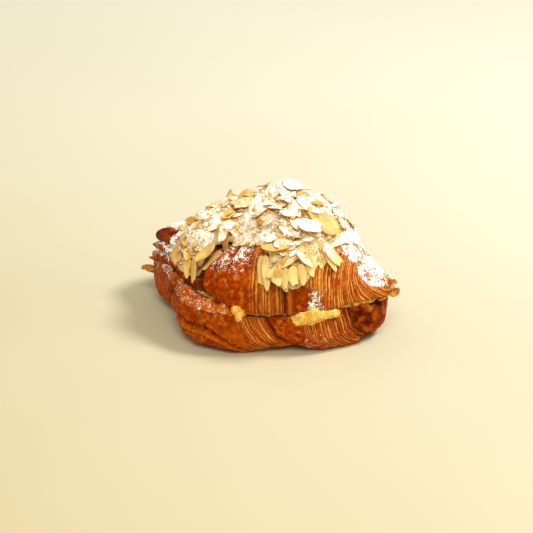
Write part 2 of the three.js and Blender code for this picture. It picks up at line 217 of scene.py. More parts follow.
def lid_skin(x, share):
    """The lid's plain skin. share runs from the outer rim, over the top, to the inner rim."""
    angle = np.pi * (1 - share)
    half = lid_reach(x, np.cos(angle))
    foot = lid_foot(x)
    z = foot + (station(x, "top") - foot) * powered(np.sin(angle), 0.85)
    return on_section(lid_x(x), half * powered(np.cos(angle), 0.85), z)


def outward(skin, x, share, sign):
    """The skin's outward normals, from points a little apart."""
    along = skin(x + 0.6, share) - skin(x - 0.6, share)
    around = skin(x, unit(share + 0.01)) - skin(x, unit(share - 0.01))
    normal = sign * np.cross(along, around)
    return normal / np.maximum(np.linalg.norm(normal, axis=1, keepdims=True), 1e-9)


def out_of_base(x, share):
    return outward(base_skin, x, share, -1)


def out_of_lid(x, share):
    return outward(lid_skin, x, share, 1)


# ---- lines that the rolled dough leaves on the crust ----


def layer_edges(phase, lengthwise, seed):
    """Edges of baked layers, one to each whole number of phase, uneven in spacing and height."""
    uneven = phase + 0.2 * np.sin(1.9 * phase + seed) + 0.22 * np.sin(0.71 * phase + 2 * seed)
    which = np.floor(uneven)
    turn = uneven - which
    ridge = np.where(turn < 0.66, turn / 0.66, (1 - turn) / 0.34)
    own = 0.5 + 0.5 * np.sin(which * 12.9898 + seed * 4.1) * np.sin(which * 4.37 + seed)
    seeds = np.stack([which * 7.3, lengthwise / 7, np.full(len(which), 1.0 * seed)], -1)
    fading = smooth(-0.8, 0.5, value_noise(seeds, 1.0, seed))
    return ridge**1.25, (0.35 + 0.65 * own) * (0.3 + 0.7 * fading), uneven


def crack(x, middle, left, right):
    """A groove whose two sides have different widths."""
    away = x - middle
    return np.exp(-((away / np.where(away < 0, left, right)) ** 2))


def lobe(x, middle, reach):
    """The round back of one turn of dough."""
    return unit(1 - ((x - middle) / reach) ** 2)


BASE_FIRST = [(0, -28), (0.06, -33), (0.1, -37), (0.15, -41), (0.3, -42), (0.5, -38), (1, -30)]
BASE_SECOND = [
    (0, 13), (0.05, 15.3), (0.1, 18.3), (0.165, 21.5), (0.25, 25.5), (0.5, 27), (0.8, 24), (1, 20),
]
BASE_THIRD = [(0, 51.5), (0.05, 53.2), (0.1, 55), (0.15, 57), (0.25, 59), (0.5, 57), (1, 52)]
LOOSE_END = [
    (-44, 0.11), (-22, 0.088), (-16, 0.086), (-12, 0.082), (-8, 0.08), (-5, 0.089), (-2, 0.111),
    (1, 0.156), (4, 0.22), (8, 0.28),
]
LID_FIRST = [
    (0, -9.5), (0.03, -14), (0.06, -16.3), (0.13, -16.8), (0.18, -14.8), (0.26, -12), (0.3, -10.5),
    (0.36, -6.5), (0.5, 0), (1, 6),
]
LID_SECOND = [(0, 21), (0.08, 20.3), (0.2, 18.5), (0.35, 17), (0.6, 19), (1, 27)]
# how far each fold at the lid's broad end rises, its share of the way round and its width
LID_FOLDS = [
    (1.6, 0.03, 0.05), (-2.0, 0.09, 0.022), (1.3, 0.13, 0.03), (-2.4, 0.185, 0.02),
    (1.6, 0.27, 0.06),
]


def base_relief(x, share, points):
    """How far the base's skin stands out, with the masks that its crust is coloured by."""
    side = np.minimum(share, 1 - share)
    first = through(BASE_FIRST, share)
    second = through(BASE_SECOND, share)
    third = through(BASE_THIRD, share)
    wander = 0.3 * value_noise(points, 9, 3) + 0.1 * value_noise(points, 2.5, 4)
    lengthwise = 150 * side

    in_third = x >= second
    phase = np.where(in_third, (x - 33 * side) / 1.3, (x - second) / 1.2) + wander
    ridge, height, uneven = layer_edges(phase, lengthwise, 2)
    zone_second = (x > first) * (x < second) * smooth(-13, -9.5, x - second + 20 * side)
    zone_third = in_third * smooth(9.5, 14.5, x - second - 14 * side)
    zone_first = (x <= first) * 0.45 * smooth(0.0, 0.5, value_noise(points, 10, 9))
    on_back = smooth(0.5, 0.7, share)
    zone_back = on_back * 0.8 * smooth(-0.4, 0.2, value_noise(points, 16, 14))
    layered = np.maximum.reduce([zone_second, zone_third, zone_first, zone_back])
    layered *= smooth(-1.35, -0.65, value_noise(points, 5, 8))
    layers = layered * ridge * height

    # the loose end of the rolled dough makes a flap with a proud edge
    edge = through(LOOSE_END, x) + 0.006 * layered_noise(points, 4, 21)
    flap = smooth(-0.004, 0.005, share - edge) * smooth(0.55, 0.42, share)
    flap *= window(x, -28, -20, 3, 10)
    flap_edge = bump(share, edge + 0.008, 0.007) * window(x, -28, -20, 2, 9)
    flap_edge *= 0.7 + 0.5 * value_noise(points, 1.7, 22)
    under_edge = bump(share, edge - 0.011, 0.01) * window(x, -26, -18, 2, 9)
    holes = np.zeros(len(x))
    for at in (-7.2, -4.2):
        holes += bump(x, at, 0.6) * bump(share, edge - 0.014, 0.006)

    deep = 3.6 * crack(x, first, 3.4, 2.2) + 2.6 * crack(x, second, 1.0, 2.2)
    deep = deep + 2.0 * crack(x, second, 3.5, 4) * smooth(0.1, 0.2, side)
    deep = deep + 1.8 * crack(x, third, 1.6, 1.0) + 0.9 * crack(x, third - 2.2, 0.7, 0.7)
    lobes = 1.5 * lobe(x, 0.5 * (first + second), 24) + 1.6 * lobe(x, 0.5 * (second + third), 18)
    lobes = lobes + 0.9 * lobe(x, -57, 16)

    heel = smooth(0, 1.2, x - third)
    facets = np.abs(value_noise(points, 6.5, 31)) + 0.4 * np.abs(value_noise(points, 2.8, 32))
    plain = 1 - layered
    blisters = smooth(0.3, 0.8, value_noise(points, 4.5, 12)) * plain

    creases = np.abs(value_noise(points, 3.4, 15)) + 0.5 * np.abs(value_noise(points, 1.5, 17))
    creases = smooth(0.22, 0.04, creases) * plain * smooth(-0.3, 0.4, value_noise(points, 9, 16))
    tucked = 3.4 * bump(x, -31, 14) * window(share, 0.03, 0.13, 0.3, 0.5)

    rise = lobes - deep + 0.55 * layers - 0.25 * layered - tucked - 1.2 * creases
    rise += 0.9 * flap + 0.8 * flap_edge - 1.5 * under_edge - 1.0 * holes
    rise += heel * (3.2 * facets - 1.6)
    rise += 0.7 * blisters + 0.6 * plain * layered_noise(points, 4.4, 13)
    rise += 0.7 * layered_noise(points, 11, 5) + 0.3 * layered_noise(points, 2.0, 6)
    masks = {
        "layers": unit(layers * 0.95),
        "layered": layered,
        # painted shade: the cracks, creases, holes, the line under the flap's edge and the pits
        # between the heel's facets are darkened where shade falls
        "dark_bake_and_painted_shade": unit(
            crack(x, first, 1.6, 1.2)
            + crack(x, second, 0.7, 0.9)
            + 0.8 * crack(x, third, 1.2, 0.5)
            + 0.8 * crack(x, third - 2.2, 0.5, 0.5)
            + 0.55 * under_edge
            + 0.5 * creases
            + holes * 1.5
            + heel * smooth(0.25, 0.05, facets)
        ),
        "heel": heel,
        # painted highlight: the flap's edge, the blisters and the ridges of the heel's facets are
        # lightened where light catches them
        "edge": unit(flap_edge + 0.45 * blisters + 0.5 * heel * smooth(0.7, 1.1, facets)),
        "strand": uneven,
        "lengthwise": lengthwise,
    }
    return rise, masks


def burnt_end(x, share, points):
    """Masks of the lid's burnt end face, and of the dark stripes beside it."""
    wander = value_noise(points, 3, 55)
    face = window(share, 0.195, 0.21, 0.38, 0.43) * smooth(-51.5, -54, x + 1.2 * wander)
    stripes = smooth(0.1, 0.6, np.sin((x + 34 * share) * 2.6)) * window(x, -63, -60, -54, -51)
    stripes *= window(share, 0.27, 0.3, 0.42, 0.46)
    return face, stripes


def lid_relief(x, share, points):
    """The same for the lid."""
    first = through(LID_FIRST, share)
    second = through(LID_SECOND, share)
    wander = 0.25 * value_noise(points, 9, 43) + 0.09 * value_noise(points, 2.5, 44)
    up_side = np.minimum(share, 0.6)
    lengthwise = 110 * share

    in_third = x >= second
    sweep = (8 + 20 * smooth(44, 58, x)) * up_side
    phase = np.where(in_third, (x + sweep) / 1.3, (x + 8 * up_side) / 1.15) + wander
    ridge, height, uneven = layer_edges(phase, lengthwise, 5)
    zone_second = (x > first) * (x < second) * smooth(-15.5, -11, x - second)
    zone_third = in_third * smooth(10, 14, x - second + 14 * smooth(0.1, 0.2, share))
    zone_first = (x <= first) * 0.6 * smooth(-0.2, 0.5, value_noise(points, 12, 52))
    layered = np.maximum.reduce([zone_second, zone_third, zone_first])
    layered *= smooth(-1.35, -0.65, value_noise(points, 6, 48))
    layers = layered * ridge * height

    groove_end = smooth(0.95, 0.6, share)
    deep = 6.0 * crack(x, first, 6.0, 2.2) * groove_end
    deep = deep + 1.5 * crack(x, second, 0.8, 1.0)
    proud = 1.0 * crack(x, second + 1.9, 0.9, 3)
    lobes = 2.2 * lobe(x, 0.5 * (first + second), 17) ** 0.7 + 1.0 * lobe(x, 42, 20)
    lobes = lobes * smooth(0.5, 0.3, share)

    # the turns of dough fold over one another at the broad end
    at_end = smooth(-44, -56, x)
    folds = sum(rise * bump(share, at, width) for rise, at, width in LID_FOLDS)
    folds = folds - 1.6 * smooth(0.34, 0.42, share)
    burnt, stripes = burnt_end(x, share, points)

    waves = 0.45 * np.sin(1.05 * x + 1.3 + 2 * share + wander) + 0.3 * np.sin(0.55 * x + 2)
    waves = waves * (x > first) * (x < second) * (1 - layered)
    ragged = smooth(55, 61, x)
    torn = ragged * (1.2 * layered_noise(points, 2.8, 61) + 0.6)
    plain = 1 - layered
    blisters = smooth(0.3, 0.8, value_noise(points, 4.5, 53)) * plain

    rise = lobes - deep + proud + waves + torn + 0.5 * layers - 0.25 * layered
    rise += at_end * folds - 0.6 * stripes + 0.5 * blisters
    rise -= 2.0 * smooth(46, 54, x) * window(share, 0.12, 0.3, 0.6, 0.9)
    rise += 0.6 * layered_noise(points, 11, 45) + 0.28 * layered_noise(points, 2.0, 46)
    in_fold = bump(share, 0.09, 0.014) + bump(share, 0.185, 0.014)
    masks = {
        "layers": unit(layers * 1.3),
        "layered": layered,
        # painted shade in the deep groove, along the outer rim where it meets the base and in the
        # folds at the broad end; the burnt end face, its stripes and the red-brown patch are the
        # crust's own dark bake
        "dark_bake_and_painted_shade": unit(
            crack(x, first - 1, 5.5, 2.6) * groove_end
            + crack(x, second, 0.7, 0.8)
            + 0.55 * bump(share, 0, 0.012)
            + at_end * in_fold
            + stripes
            + burnt
            + 0.42 * window(x, 22.5, 25, 33, 40) * smooth(0.17, 0.1, share)
        ),
        "heel": 0.4 * unit(burnt),
        # painted highlight along the proud edge of the second turn
        "edge": unit(crack(x, second + 1.9, 0.6, 1.0) * smooth(0.4, 0.3, share)),
        "strand": uneven,
        "lengthwise": lengthwise,
    }
    return rise, masks


# ---- meshes ----


def mesh_from(bm, name):
    """The mesh that a bmesh makes, which is then let go."""
    mesh = bpy.data.meshes.new(name)
    bm.to_mesh(mesh)
    bm.free()
    return mesh


def read_vertices(mesh, what):
    """The vertices' places ("co") or normals ("normal"), one row each."""
    flat = np.empty(len(mesh.vertices) * 3)
    mesh.vertices.foreach_get(what, flat)
    return flat.reshape(-1, 3)


def read_attribute(mesh, name):
    values = np.empty(len(mesh.vertices), np.float32)
    mesh.attributes[name].data.foreach_get("value", values)
    return values


def write_attribute(mesh, name, values):
    if name not in mesh.attributes:
        mesh.attributes.new(name, "FLOAT", "POINT")
    mesh.attributes[name].data.foreach_set("value", np.asarray(values, np.float32))


def in_scene(name, data):
    """An object in the scene, for a mesh, a lamp or a camera."""
    thing = bpy.data.objects.new(name, data)
    bpy.context.scene.collection.objects.link(thing)
    return thing


def wrapped(name, along, around, place):
    """A grid wrapped into a closed skin: place(u, v) gives its points and its attributes.

    v goes once round and u from one end to the other, where place brings the points together."""
    bm = bmesh.new()
    bmesh.ops.create_grid(bm, x_segments=along, y_segments=around, size=0.5)
    mesh = mesh_from(bm, name)
    u, v, _ = read_vertices(mesh, "co").T + 0.5
    points, attributes = place(u, v)
    mesh.vertices.foreach_set("co", (points * MM).ravel())
    for key, values in attributes.items():
        write_attribute(mesh, key, values)
    return closed(mesh)


def closed(mesh):
    """Merges the vertices that lie together, and turns the faces outwards."""
    bm = bmesh.new()
    bm.from_mesh(mesh)
    bmesh.ops.remove_doubles(bm, verts=bm.verts, dist=1e-6)
    bmesh.ops.recalc_face_normals(bm, faces=bm.faces)
    for face in bm.faces:
        face.smooth = True
    bm.to_mesh(mesh)
    bm.free()
    return mesh


def shown(mesh, material, slot, *nodes):
    """An object for a mesh, which rides on the one body and stands for these nodes."""
    thing = in_scene(mesh.name, mesh)
    mesh.materials.clear()
    mesh.materials.append(material)
    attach(thing, "root")
    if nodes:
        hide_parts(*nodes)


def even_and_bunched(u):
    """Places along the croissant, closer together near its ends."""
    bunched = (1 - np.cos(np.pi * u)) / 2
    return blend(BROAD_END, THIN_END, 0.72 * u + 0.28 * bunched)


SKIN_PART = 0.84  # how much of the way round is skin; the rest is the cut face
CUT_SPACING = [(0, 1.0), (0.22, 0.7), (0.45, -0.55), (1, -1.0)]


def skin_and_cut(v, spacing):
    """Splits the way round a section into its share of the skin and its place on the cut face."""
    share = through(spacing, unit(v / SKIN_PART))
    across = through(CUT_SPACING, unit((v - SKIN_PART) / (1 - SKIN_PART)))
    return share, across, v > SKIN_PART


def gathered(points, u, ends):
    """Brings the first and last rings of points together at their middles."""
    for at in (0.0, 1.0):
        ring = np.isclose(u, at)
        points[ring] = points[ring].mean(axis=0) + ends[at]
    return points


def risen(half, x, share, fade):
    """Points of a half's skin with its relief, and the masks that come with it."""
    skin, out, relief = half
    plain = skin(x, share)
    rise, masks = relief(x, share, plain)
    return plain + out(x, share) * (rise * fade)[:, None], masks


def add_cut_face(points, face, cut, half, x, share, across, fade, ragged):
    """Puts the cut face in, joined to the skin at the rim, and makes the rim ragged.

    ragged has the height of the coarse and of the fine tears, and their seed. What comes back
    says how near the rim each place of the cut face is."""
    skin = half[0]
    rim_share = np.where(across < 0, 0.0, 1.0)
    rim, _ = risen(half, x, rim_share, fade)
    near_rim = np.abs(across) ** 6
    face = face + (rim - skin(x, rim_share)) * near_rim[:, None]
    points[cut] = face[cut]
    coarse, fine, seed = ragged
    plain = skin(x, share)
    tears = coarse * value_noise(plain, 3.5, seed) + fine * value_noise(plain, 1.4, seed + 1)
    from_rim = np.where(cut, 1 - np.abs(across), share)
    points[:, 2] += tears * bump(from_rim, 0, 0.03) * fade
    return near_rim


def patchiness(points, size, seed):
    return unit(0.5 + 0.8 * layered_noise(points, size, seed))


def base_dusting(points, x, share, ledge):
    """The base catches sugar on its ledge and a little down its outer side."""
    patchy = patchiness(points, 5, 91)
    on_rim = bump(share, 0, 0.018) * smooth(6, -8, x) * 0.3
    low_right = window(x, 24, 30, 40, 50) * smooth(0.03, 0.1, share) * 0.26
    broad_end = smooth(-38, -52, x) * smooth(0.07, 0.0, share) * 0.25
    arm = smooth(-28, -44, x)
    lifted = ledge * (0.26 + 0.42 * arm) * smooth(4, -10, x)
    outer = (share < 0.35) * 0.04
    back = smooth(0.85, 1.0, share) * 0.5
    most = np.maximum.reduce([on_rim, low_right, broad_end, outer, lifted, back])
    return unit(most * (0.3 + 0.95 * patchy))


def lid_dusting(points, normal, x, share):
    """The lid is white on its shoulder by the thin end, and speckled down its outer side."""
    patchy = patchiness(points, 4.5, 92)
    low = 0.34 - 0.17 * smooth(50, 60, x)
    shoulder = window(x, 36, 44, 61, 66) * smooth(low, low + 0.1, share) * 0.8
    broad_arm = smooth(-16, -24, x) * smooth(0.0, 0.1, share) * 0.75
    speckled = window(x, -17, -12, 2, 8) * smooth(0.12, 0.22, share) * 0.52
    by_filling = window(x, 29, 33, 37, 42) * smooth(0.2, 0.08, share) * 0.5
    everywhere = 0.033 + 0.22 * unit(normal[:, 2]) ** 2
    behind = window(share, 0.55, 0.7, 0.8, 1.0) * 0.55
    most = [shoulder, broad_arm, speckled, by_filling, everywhere, behind]
    face, stripes = burnt_end(x, share, points)
    ridge = smooth(-54, -58, x) * window(share, 0.095, 0.11, 0.15, 0.165)
    bare = unit(0.97 * face + stripes + 0.8 * ridge)
    return unit(np.maximum.reduce(most) * (0.4 + 0.85 * patchy) * (1 - bare))


BASE_HALF = (base_skin, out_of_base, base_relief)
BASE_SPACING = [(0, 0), (0.42, 0.25), (0.56, 0.75), (1, 1)]
LEDGE_RISE = 3.4
HALF_GRID = (470, 200)  # how many places along each half and round it


def base_mesh():
    def place(u, v):
        x = even_and_bunched(u)
        share, across, cut = skin_and_cut(v, BASE_SPACING)
        fade = smooth(0, 0.03, u) * smooth(1, 0.97, u)
        points, masks = risen(BASE_HALF, x, share, fade)
        # the cut face, with a ledge of crust that bulges up to meet the lid
        half = base_reach(x, across)
        lid_half = lid_reach(x, across)
        inner = np.clip((lid_half + 0.5) / half, 0.3, 0.985)
        t = unit((np.abs(across) - inner) / (1 - inner))
        swell = np.where(across < 0, smooth(5, -3, x), 0.35) * unit((half - lid_half) / 5)
        crest = np.sin(np.pi * unit(0.16 + 0.84 * t)) ** 0.8
        swollen = swell * LEDGE_RISE * crest
        inside = smooth(inner, inner - 0.1, np.abs(across))
        seeds = on_section(x, across * half, station(x, "rim"))
        grain = 0.5 * layered_noise(seeds, 3, 81) + 0.6 * swell * layered_noise(seeds, 6, 88)
        puffs = smooth(0.1, 0.7, value_noise(seeds, 4.0, 89)) * swell * (1 - inside)
        grain += 1.3 * puffs + 0.45 * swell * value_noise(seeds, 1.5, 90)
        height = station(x, "rim") + swollen * (1 - inside) + grain
        height = height - (0.4 + dip(x, across, "front")) * inside
        face = on_section(x, 0.99 * across * half, height)
        ragged = (0.9, 0.6, 82)
        near_rim = add_cut_face(points, face, cut, BASE_HALF, x, share, across, fade, ragged)
        points[:, 2] = np.maximum(points[:, 2], 0)
        points = gathered(points, u, {0.0: (-1.0, 0, 0), 1.0: (0.8, 0, 0)})
        ledge = (1 - inside) * swell
        dusting = base_dusting(points, x, np.where(cut, 0.0, share), np.where(cut, ledge, 0))
        # painted shade on the ledge, where it meets the lid
        by_lid = smooth(0.2, 0.0, t) * (1 - inside) * swell
        burnt = smooth(45, 49, x)
        # painted highlight on the ledge's puffs
        on_cut = {"layered": 0, "layers": 0, "dark_bake_and_painted_shade": 0.8 * by_lid, "edge": 0.75 * puffs}
        on_cut["heel"] = burnt
        for key, value in on_cut.items():
            masks[key] = np.where(cut, value, masks[key])
        attributes = {
            **masks,
            "crumb": np.where(cut, unit(inside - near_rim) * (1 - burnt), 0.0),
            "dusting": dusting,
            "rim": np.where(cut, 0.25 * near_rim, 0.35 * bump(share, 0, 0.007)),
        }
        return points + SECTIONS_AT, attributes

    return wrapped("pastry_base", *HALF_GRID, place)


LID_HALF = (lid_skin, out_of_lid, lid_relief)
LID_SPACING = [(0, 0), (0.5, 0.38), (1, 1)]


def lid_mesh():
    def place(u, v):
        x = even_and_bunched(u)
        share, across, cut = skin_and_cut(v, LID_SPACING)
        fade = smooth(0, 0.02, u) * smooth(1, 0.99, u)
        points, masks = risen(LID_HALF, x, share, fade)
        normal = out_of_lid(x, share)
        grain = 0.5 * layered_noise(lid_skin(x, share), 3, 84)
        height = lid_foot(x) + 0.5 * dip(x, across, "lid_front") + grain
        face = on_section(lid_x(x), 0.99 * across * lid_reach(x, across), height)
        ragged = (0.5, 0.4, 85)
        near_rim = add_cut_face(points, face, cut, LID_HALF, x, share, across, fade, ragged)
        points = gathered(points, u, {0.0: (-0.8, 0, 0), 1.0: (2.5, -0.5, 0)})
        dusting = lid_dusting(points, normal, x, share)
        drift = 0.6 * smooth(0.45, 0.8, dusting) * (1 + value_noise(points, 1.6, 87))
        points = points + normal * (np.where(cut, 0, drift) * fade)[:, None]
        attributes = {
            **masks,
            "crumb": np.where(cut, 1 - 0.9 * near_rim, 0.0),
            "dusting": np.where(cut, 0, dusting),
            "rim": np.where(cut, near_rim, 0.35 * bump(share, 0, 0.006)),
        }
        return points + SECTIONS_AT, attributes

    return wrapped("pastry_lid", *HALF_GRID, place)


LEAF_GRID = (36, 24)


def leaf_mesh(name, at, heading, pitch, roll, size, seed):
    """A torn leaf of crust: thin, with a ragged edge and a twist."""
    length, width, thick = size

    def place(u, v):
        t = 2 * u - 1
        round_about = 2 * np.pi * v
        reach = unit(1 - np.abs(t) ** 3) ** 0.5
        x = 0.5 * length * t
        seeds = np.stack([x, 3 * np.cos(round_about), 0 * x], -1)
        ragged = 1 + 0.45 * value_noise(seeds, 1.6, seed)
        y = 0.5 * width * reach * np.cos(round_about) * ragged
        z = 0.5 * thick * reach**0.5 * powered(np.sin(round_about), 0.6)
        z = z + 0.5 * np.sin(0.7 * x + seed) + 0.25 * value_noise(seeds, 1.3, seed + 1)
        turned = Matrix.Rotation(heading, 3, "Z") @ Matrix.Rotation(-pitch, 3, "Y")
        turned = turned @ Matrix.Rotation(roll, 3, "X")
        points = np.array(at) + np.stack([x, y, z], -1) @ np.array(turned).T
        gold = 0.5 + 0.5 * value_noise(points, 1.5, seed + 2)
        flat = np.zeros(len(u))
        attributes = {
            "layers": gold,
            "layered": flat + 0.9,
            "dark_bake_and_painted_shade": 0.35 * (1 - gold),
            "heel": flat,
            "edge": 0.6 * np.abs(np.cos(round_about)) ** 4,
            "strand": 2.2 * y,
            "lengthwise": x,
            "crumb": flat,
            "dusting": flat + 0.12,
            "rim": flat,
        }
        return points + SECTIONS_AT, attributes

    return wrapped(name, *LEAF_GRID, place)


def torn_leaves():
    """Leaves of crust that stand off both ends, and one toasted shard that lies on the cream.

    Each has its middle, in the sections' own millimetres, its heading, pitch and roll in radians,
    and its size."""
    leaves = [
        # broad end
        ((-72.5, -3.5, 16.8), 2.95, -0.12, 0.3, (15, 8.5, 3.0)),
        ((-73.5, 1.5, 20.5), 2.7, 0.1, 0.4, (9, 5.5, 1.6)),
        ((-71.5, 3.0, 28.0), 2.3, 0.4, 0.3, (8, 4.5, 1.3)),
        # thin end
        ((66.5, 13.0, 27.5), 0.35, 0.22, 0.2, (13, 7.5, 1.7)),
        ((64.5, 12.5, 30.5), 0.1, 0.0, 0.3, (11, 8.0, 1.5)),
        ((62.0, 8.5, 25.6), -0.25, 0.18, 0.1, (12, 6.0, 1.3)),
        ((66.0, 16.0, 33.0), 0.3, -0.35, 0.2, (8, 5.0, 1.1)),
    ]
    shard, _ = on_cream(np.array([0.6]), np.array([0.15]), 1.6)
    leaves.append((shard[0], 0.25, -0.25, 0.8, (5.5, 3.6, 1.2)))
    pieces = [leaf_mesh(f"leaf_{i}", *leaf, 150 + 3 * i) for i, leaf in enumerate(leaves)]
    return joined("torn_crust_leaves", pieces)


# ---- almond cream ----

TOPPING_FROM = -52.0
TOPPING_TO = 43.5
HANGING_EDGE = [
    (0, 92), (0.08, 104), (0.14, 134), (0.19, 161), (0.25, 168), (0.34, 166), (0.375, 152),
    (0.40, 124), (0.45, 119), (0.5, 125), (0.56, 125), (0.61, 122), (0.65, 126), (0.69, 145),
    (0.73, 158), (0.81, 158), (0.85, 153), (0.88, 143), (0.91, 128), (0.94, 112), (1, 92),
]
BACK_EDGE = 34.0


def hanging_angle(along):
    knots = np.array(HANGING_EDGE, float)
    i = np.clip(np.searchsorted(knots[:, 0], along) - 1, 0, len(knots) - 2)
    t = (along - knots[i, 0]) / (knots[i + 1, 0] - knots[i, 0])
    return blend(knots[i, 1], knots[i + 1, 1], t * t * (3 - 2 * t))


def cream_thickness(along, over):
    crosswise = unit(4 * over * (1 - over)) ** 0.55
    lengthwise = unit(4 * along * (1 - along)) ** 0.45
    heap = 9 + 6 * bump(along, 0.68, 0.2) + 3.5 * bump(along, 0.35, 0.16)
    lean = 0.75 + 0.5 * bump(over, 0.62, 0.3)
    lumps = 1 + 0.13 * np.sin(21 * along + 5 * over) + 0.1 * np.sin(13 * over - 9 * along)
    return heap * crosswise * lengthwise * lean * lumps


def on_cream(along, over, lift):
    """A point of the cream's plain outside, and the way out there."""
    angle = blend(hanging_angle(along), BACK_EDGE, over)
    x = blend(TOPPING_FROM, TOPPING_TO, along)
    share = 1 - angle / 180
    normal = out_of_lid(x, share)
    return lid_skin(x, share) + normal * (cream_thickness(along, over) + lift)[:, None], normal


TOPPING_OUTSIDE = 0.78  # how much of the way round the topping is its outside
TOPPING_GRID = (400, 230)


def topping_mesh():
    def place(u, v):
        outside = v < TOPPING_OUTSIDE
        under = 1 - (v - TOPPING_OUTSIDE) / (1 - TOPPING_OUTSIDE)
        over = np.where(outside, v / TOPPING_OUTSIDE, under)
        seeds = np.stack([97 * u, 30 * over, 0 * u], -1)
        hanging = hanging_angle(u) + 4.5 * layered_noise(seeds, 6, 101)
        behind = BACK_EDGE - 8 * layered_noise(seeds, 9, 102)
        angle = blend(hanging, behind, over)
        x = blend(TOPPING_FROM, TOPPING_TO, u)
        share = 1 - angle / 180
        skin = lid_skin(x, share)
        normal = out_of_lid(x, share)
        relief, _ = lid_relief(x, share, skin)
        thick = cream_thickness(u, over)
        surface = skin + normal * (thick + 1.2)[:, None]
        within = window(over, 0, 0.08, 0.9, 1) * window(u, 0, 0.04, 0.96, 1)
        big = np.abs(value_noise(surface, 8, 103)) * 2.6 - 0.9
        lumps = 1.5 * layered_noise(surface, 4.2, 104)
        lumps += 0.7 * np.abs(value_noise(surface, 1.9, 107))
        clustered = window(u, 0.62, 0.67, 0.92, 0.98) * smooth(0.55, 0.35, over)
        lumpy = (big + lumps - 1.5) * (0.3 + 0.7 * within) + 0.35 * value_noise(surface, 0.95, 108)
        lumpy -= clustered * np.minimum(0.35 * thick, 2.2)
        lumpy -= 0.3 * thick * smooth(0.3, 0.1, over) * (1 - clustered)
        height = np.maximum(thick + 1.3 + lumpy, np.clip(relief, -2, 3) + 0.9)
        points = skin + normal * np.where(outside, height, -3.0)[:, None]
        points = gathered(points, u, {0.0: (-0.5, 0, 0), 1.0: (0.5, 0, 0)})
        up = smooth(-0.1, 0.75, normal[:, 2] + 0.25 * value_noise(points, 2.2, 109))
        drifts = patchiness(points, 6, 105)
        dusting = (0.25 + 0.75 * up) * (0.64 + 0.36 * drifts + 0.12 * smooth(0.5, 0.65, u))
        dusting *= (0.35 + 0.65 * smooth(0.0, 0.12, over)) * (1 - 0.9 * clustered)
        # painted shade: towards the broad end the topping holds less sugar
        dusting *= 0.62 + 0.38 * smooth(-25, 3, x)
        # the hollows between lumps hold less sugar, and are browned as painted shade
        hollow = smooth(0.1, -0.9, lumps)
        dusting *= 1 - 0.75 * hollow
        browned_and_shaded = smooth(0.05, 0.7, value_noise(points, 5, 106)) * 0.8
        # painted shade: browner towards the broad end
        browned_and_shaded += 0.5 * smooth(3, -20, x)
        browned_and_shaded = np.maximum(browned_and_shaded, 0.8 * smooth(0.1, 0.0, over)) * (1 - 0.8 * clustered)
        attributes = {
            "dusting": np.where(outside, unit(dusting * 1.25), 0),
            "toast_and_painted_shade": unit(np.maximum(browned_and_shaded, 0.8 * hollow * (1 - clustered))),
        }
        return points + SECTIONS_AT, attributes

    return wrapped("almond_cream", *TOPPING_GRID, place)


FILLING_CELL = 0.75 * MM


def filling_mesh():
    """The filling, from its node: remeshed finely and then made grainy."""
    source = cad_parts["almond_cream_filling"]
    mesh = closed(source.data.copy())
    mesh.name = "squeezed_filling"
    thing = in_scene("filling_work", mesh)
    remesh = thing.modifiers.new("even", "REMESH")
    remesh.mode = "VOXEL"
    remesh.voxel_size = FILLING_CELL
    depsgraph = bpy.context.evaluated_depsgraph_get()
    fine = bpy.data.meshes.new_from_object(thing.evaluated_get(depsgraph))
    bpy.data.objects.remove(thing)
    fine.name = "squeezed_filling"
    points = read_vertices(fine, "co") / MM
    normals = read_vertices(fine, "normal")
    grain = layered_noise(points, 4.0, 111) + 0.5 * value_noise(points, 1.4, 112)
    points = points + normals * (grain + 0.6)[:, None]
    # the large blob is fullest at its middle and narrows towards the thin end
    outer = points[:, 1] < 0
    taller = 0.45 * bump(points[:, 0], 42, 7) - 0.4 * bump(points[:, 0], 53, 4)
    points[:, 2] += (points[:, 2] - 23.2) * taller * outer
    points[:, 1] -= 4.0 * taller * outer
    points[:, 0] -= 2.5 * bump(points[:, 0], 37, 5) * outer
    fine.vertices.foreach_set("co", (points * MM).ravel())
    for face in fine.polygons:
        face.use_smooth = True
    write_attribute(fine, "dusting", 0.12 * unit(normals[:, 2]))
    return fine


# ---- flaked almonds ----

FLAKE_GRID = (22, 20)  # how many places along a flake and round it
SLIVER_GRID = (10, 10)
FLAKE_HALF_THICK = 0.36
BROKEN_SHARE = 0.3  # of the flakes, those with a broken end
SLIVERS = 120
CRUMBS = 900
FLAKE_SEED = 500
LONG_SEED = 700
SLIVER_SEED = 900
CRUMB_SEED = 77


def lie_of(node):
    """How a flake's node lies: its middle, its axes, its length, its width and its bend."""
    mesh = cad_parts[node].data
    points = np.unique(np.round(read_vertices(mesh, "co") / MM, 3), axis=0)
    middle = points.mean(axis=0)
    _, _, axes = np.linalg.svd(points - middle, full_matrices=False)
    local = (points - middle) @ axes.T
    if np.abs(local[local[:, 0] > 0, 1]).mean() > np.abs(local[local[:, 0] < 0, 1]).mean():
        axes[0] *= -1
    if axes[2, 2] < 0:
        axes[2] *= -1
    axes[1] = np.cross(axes[2], axes[0])
    local = (points - middle) @ axes.T
    size = local.max(axis=0) - local.min(axis=0)
    ends = np.abs(local[:, 0]) > 0.35 * size[0]
    bend = local[ends, 2].mean() - local[~ends, 2].mean()
    # the hanging ones show a little longer and narrower
    hangs = float(smooth(58, 52, middle[2])) * float(middle[1] < 0)
    return middle, axes, size[0] * (1 + 0.1 * hangs), size[1] * (1 - 0.2 * hangs), 1.6 * bend


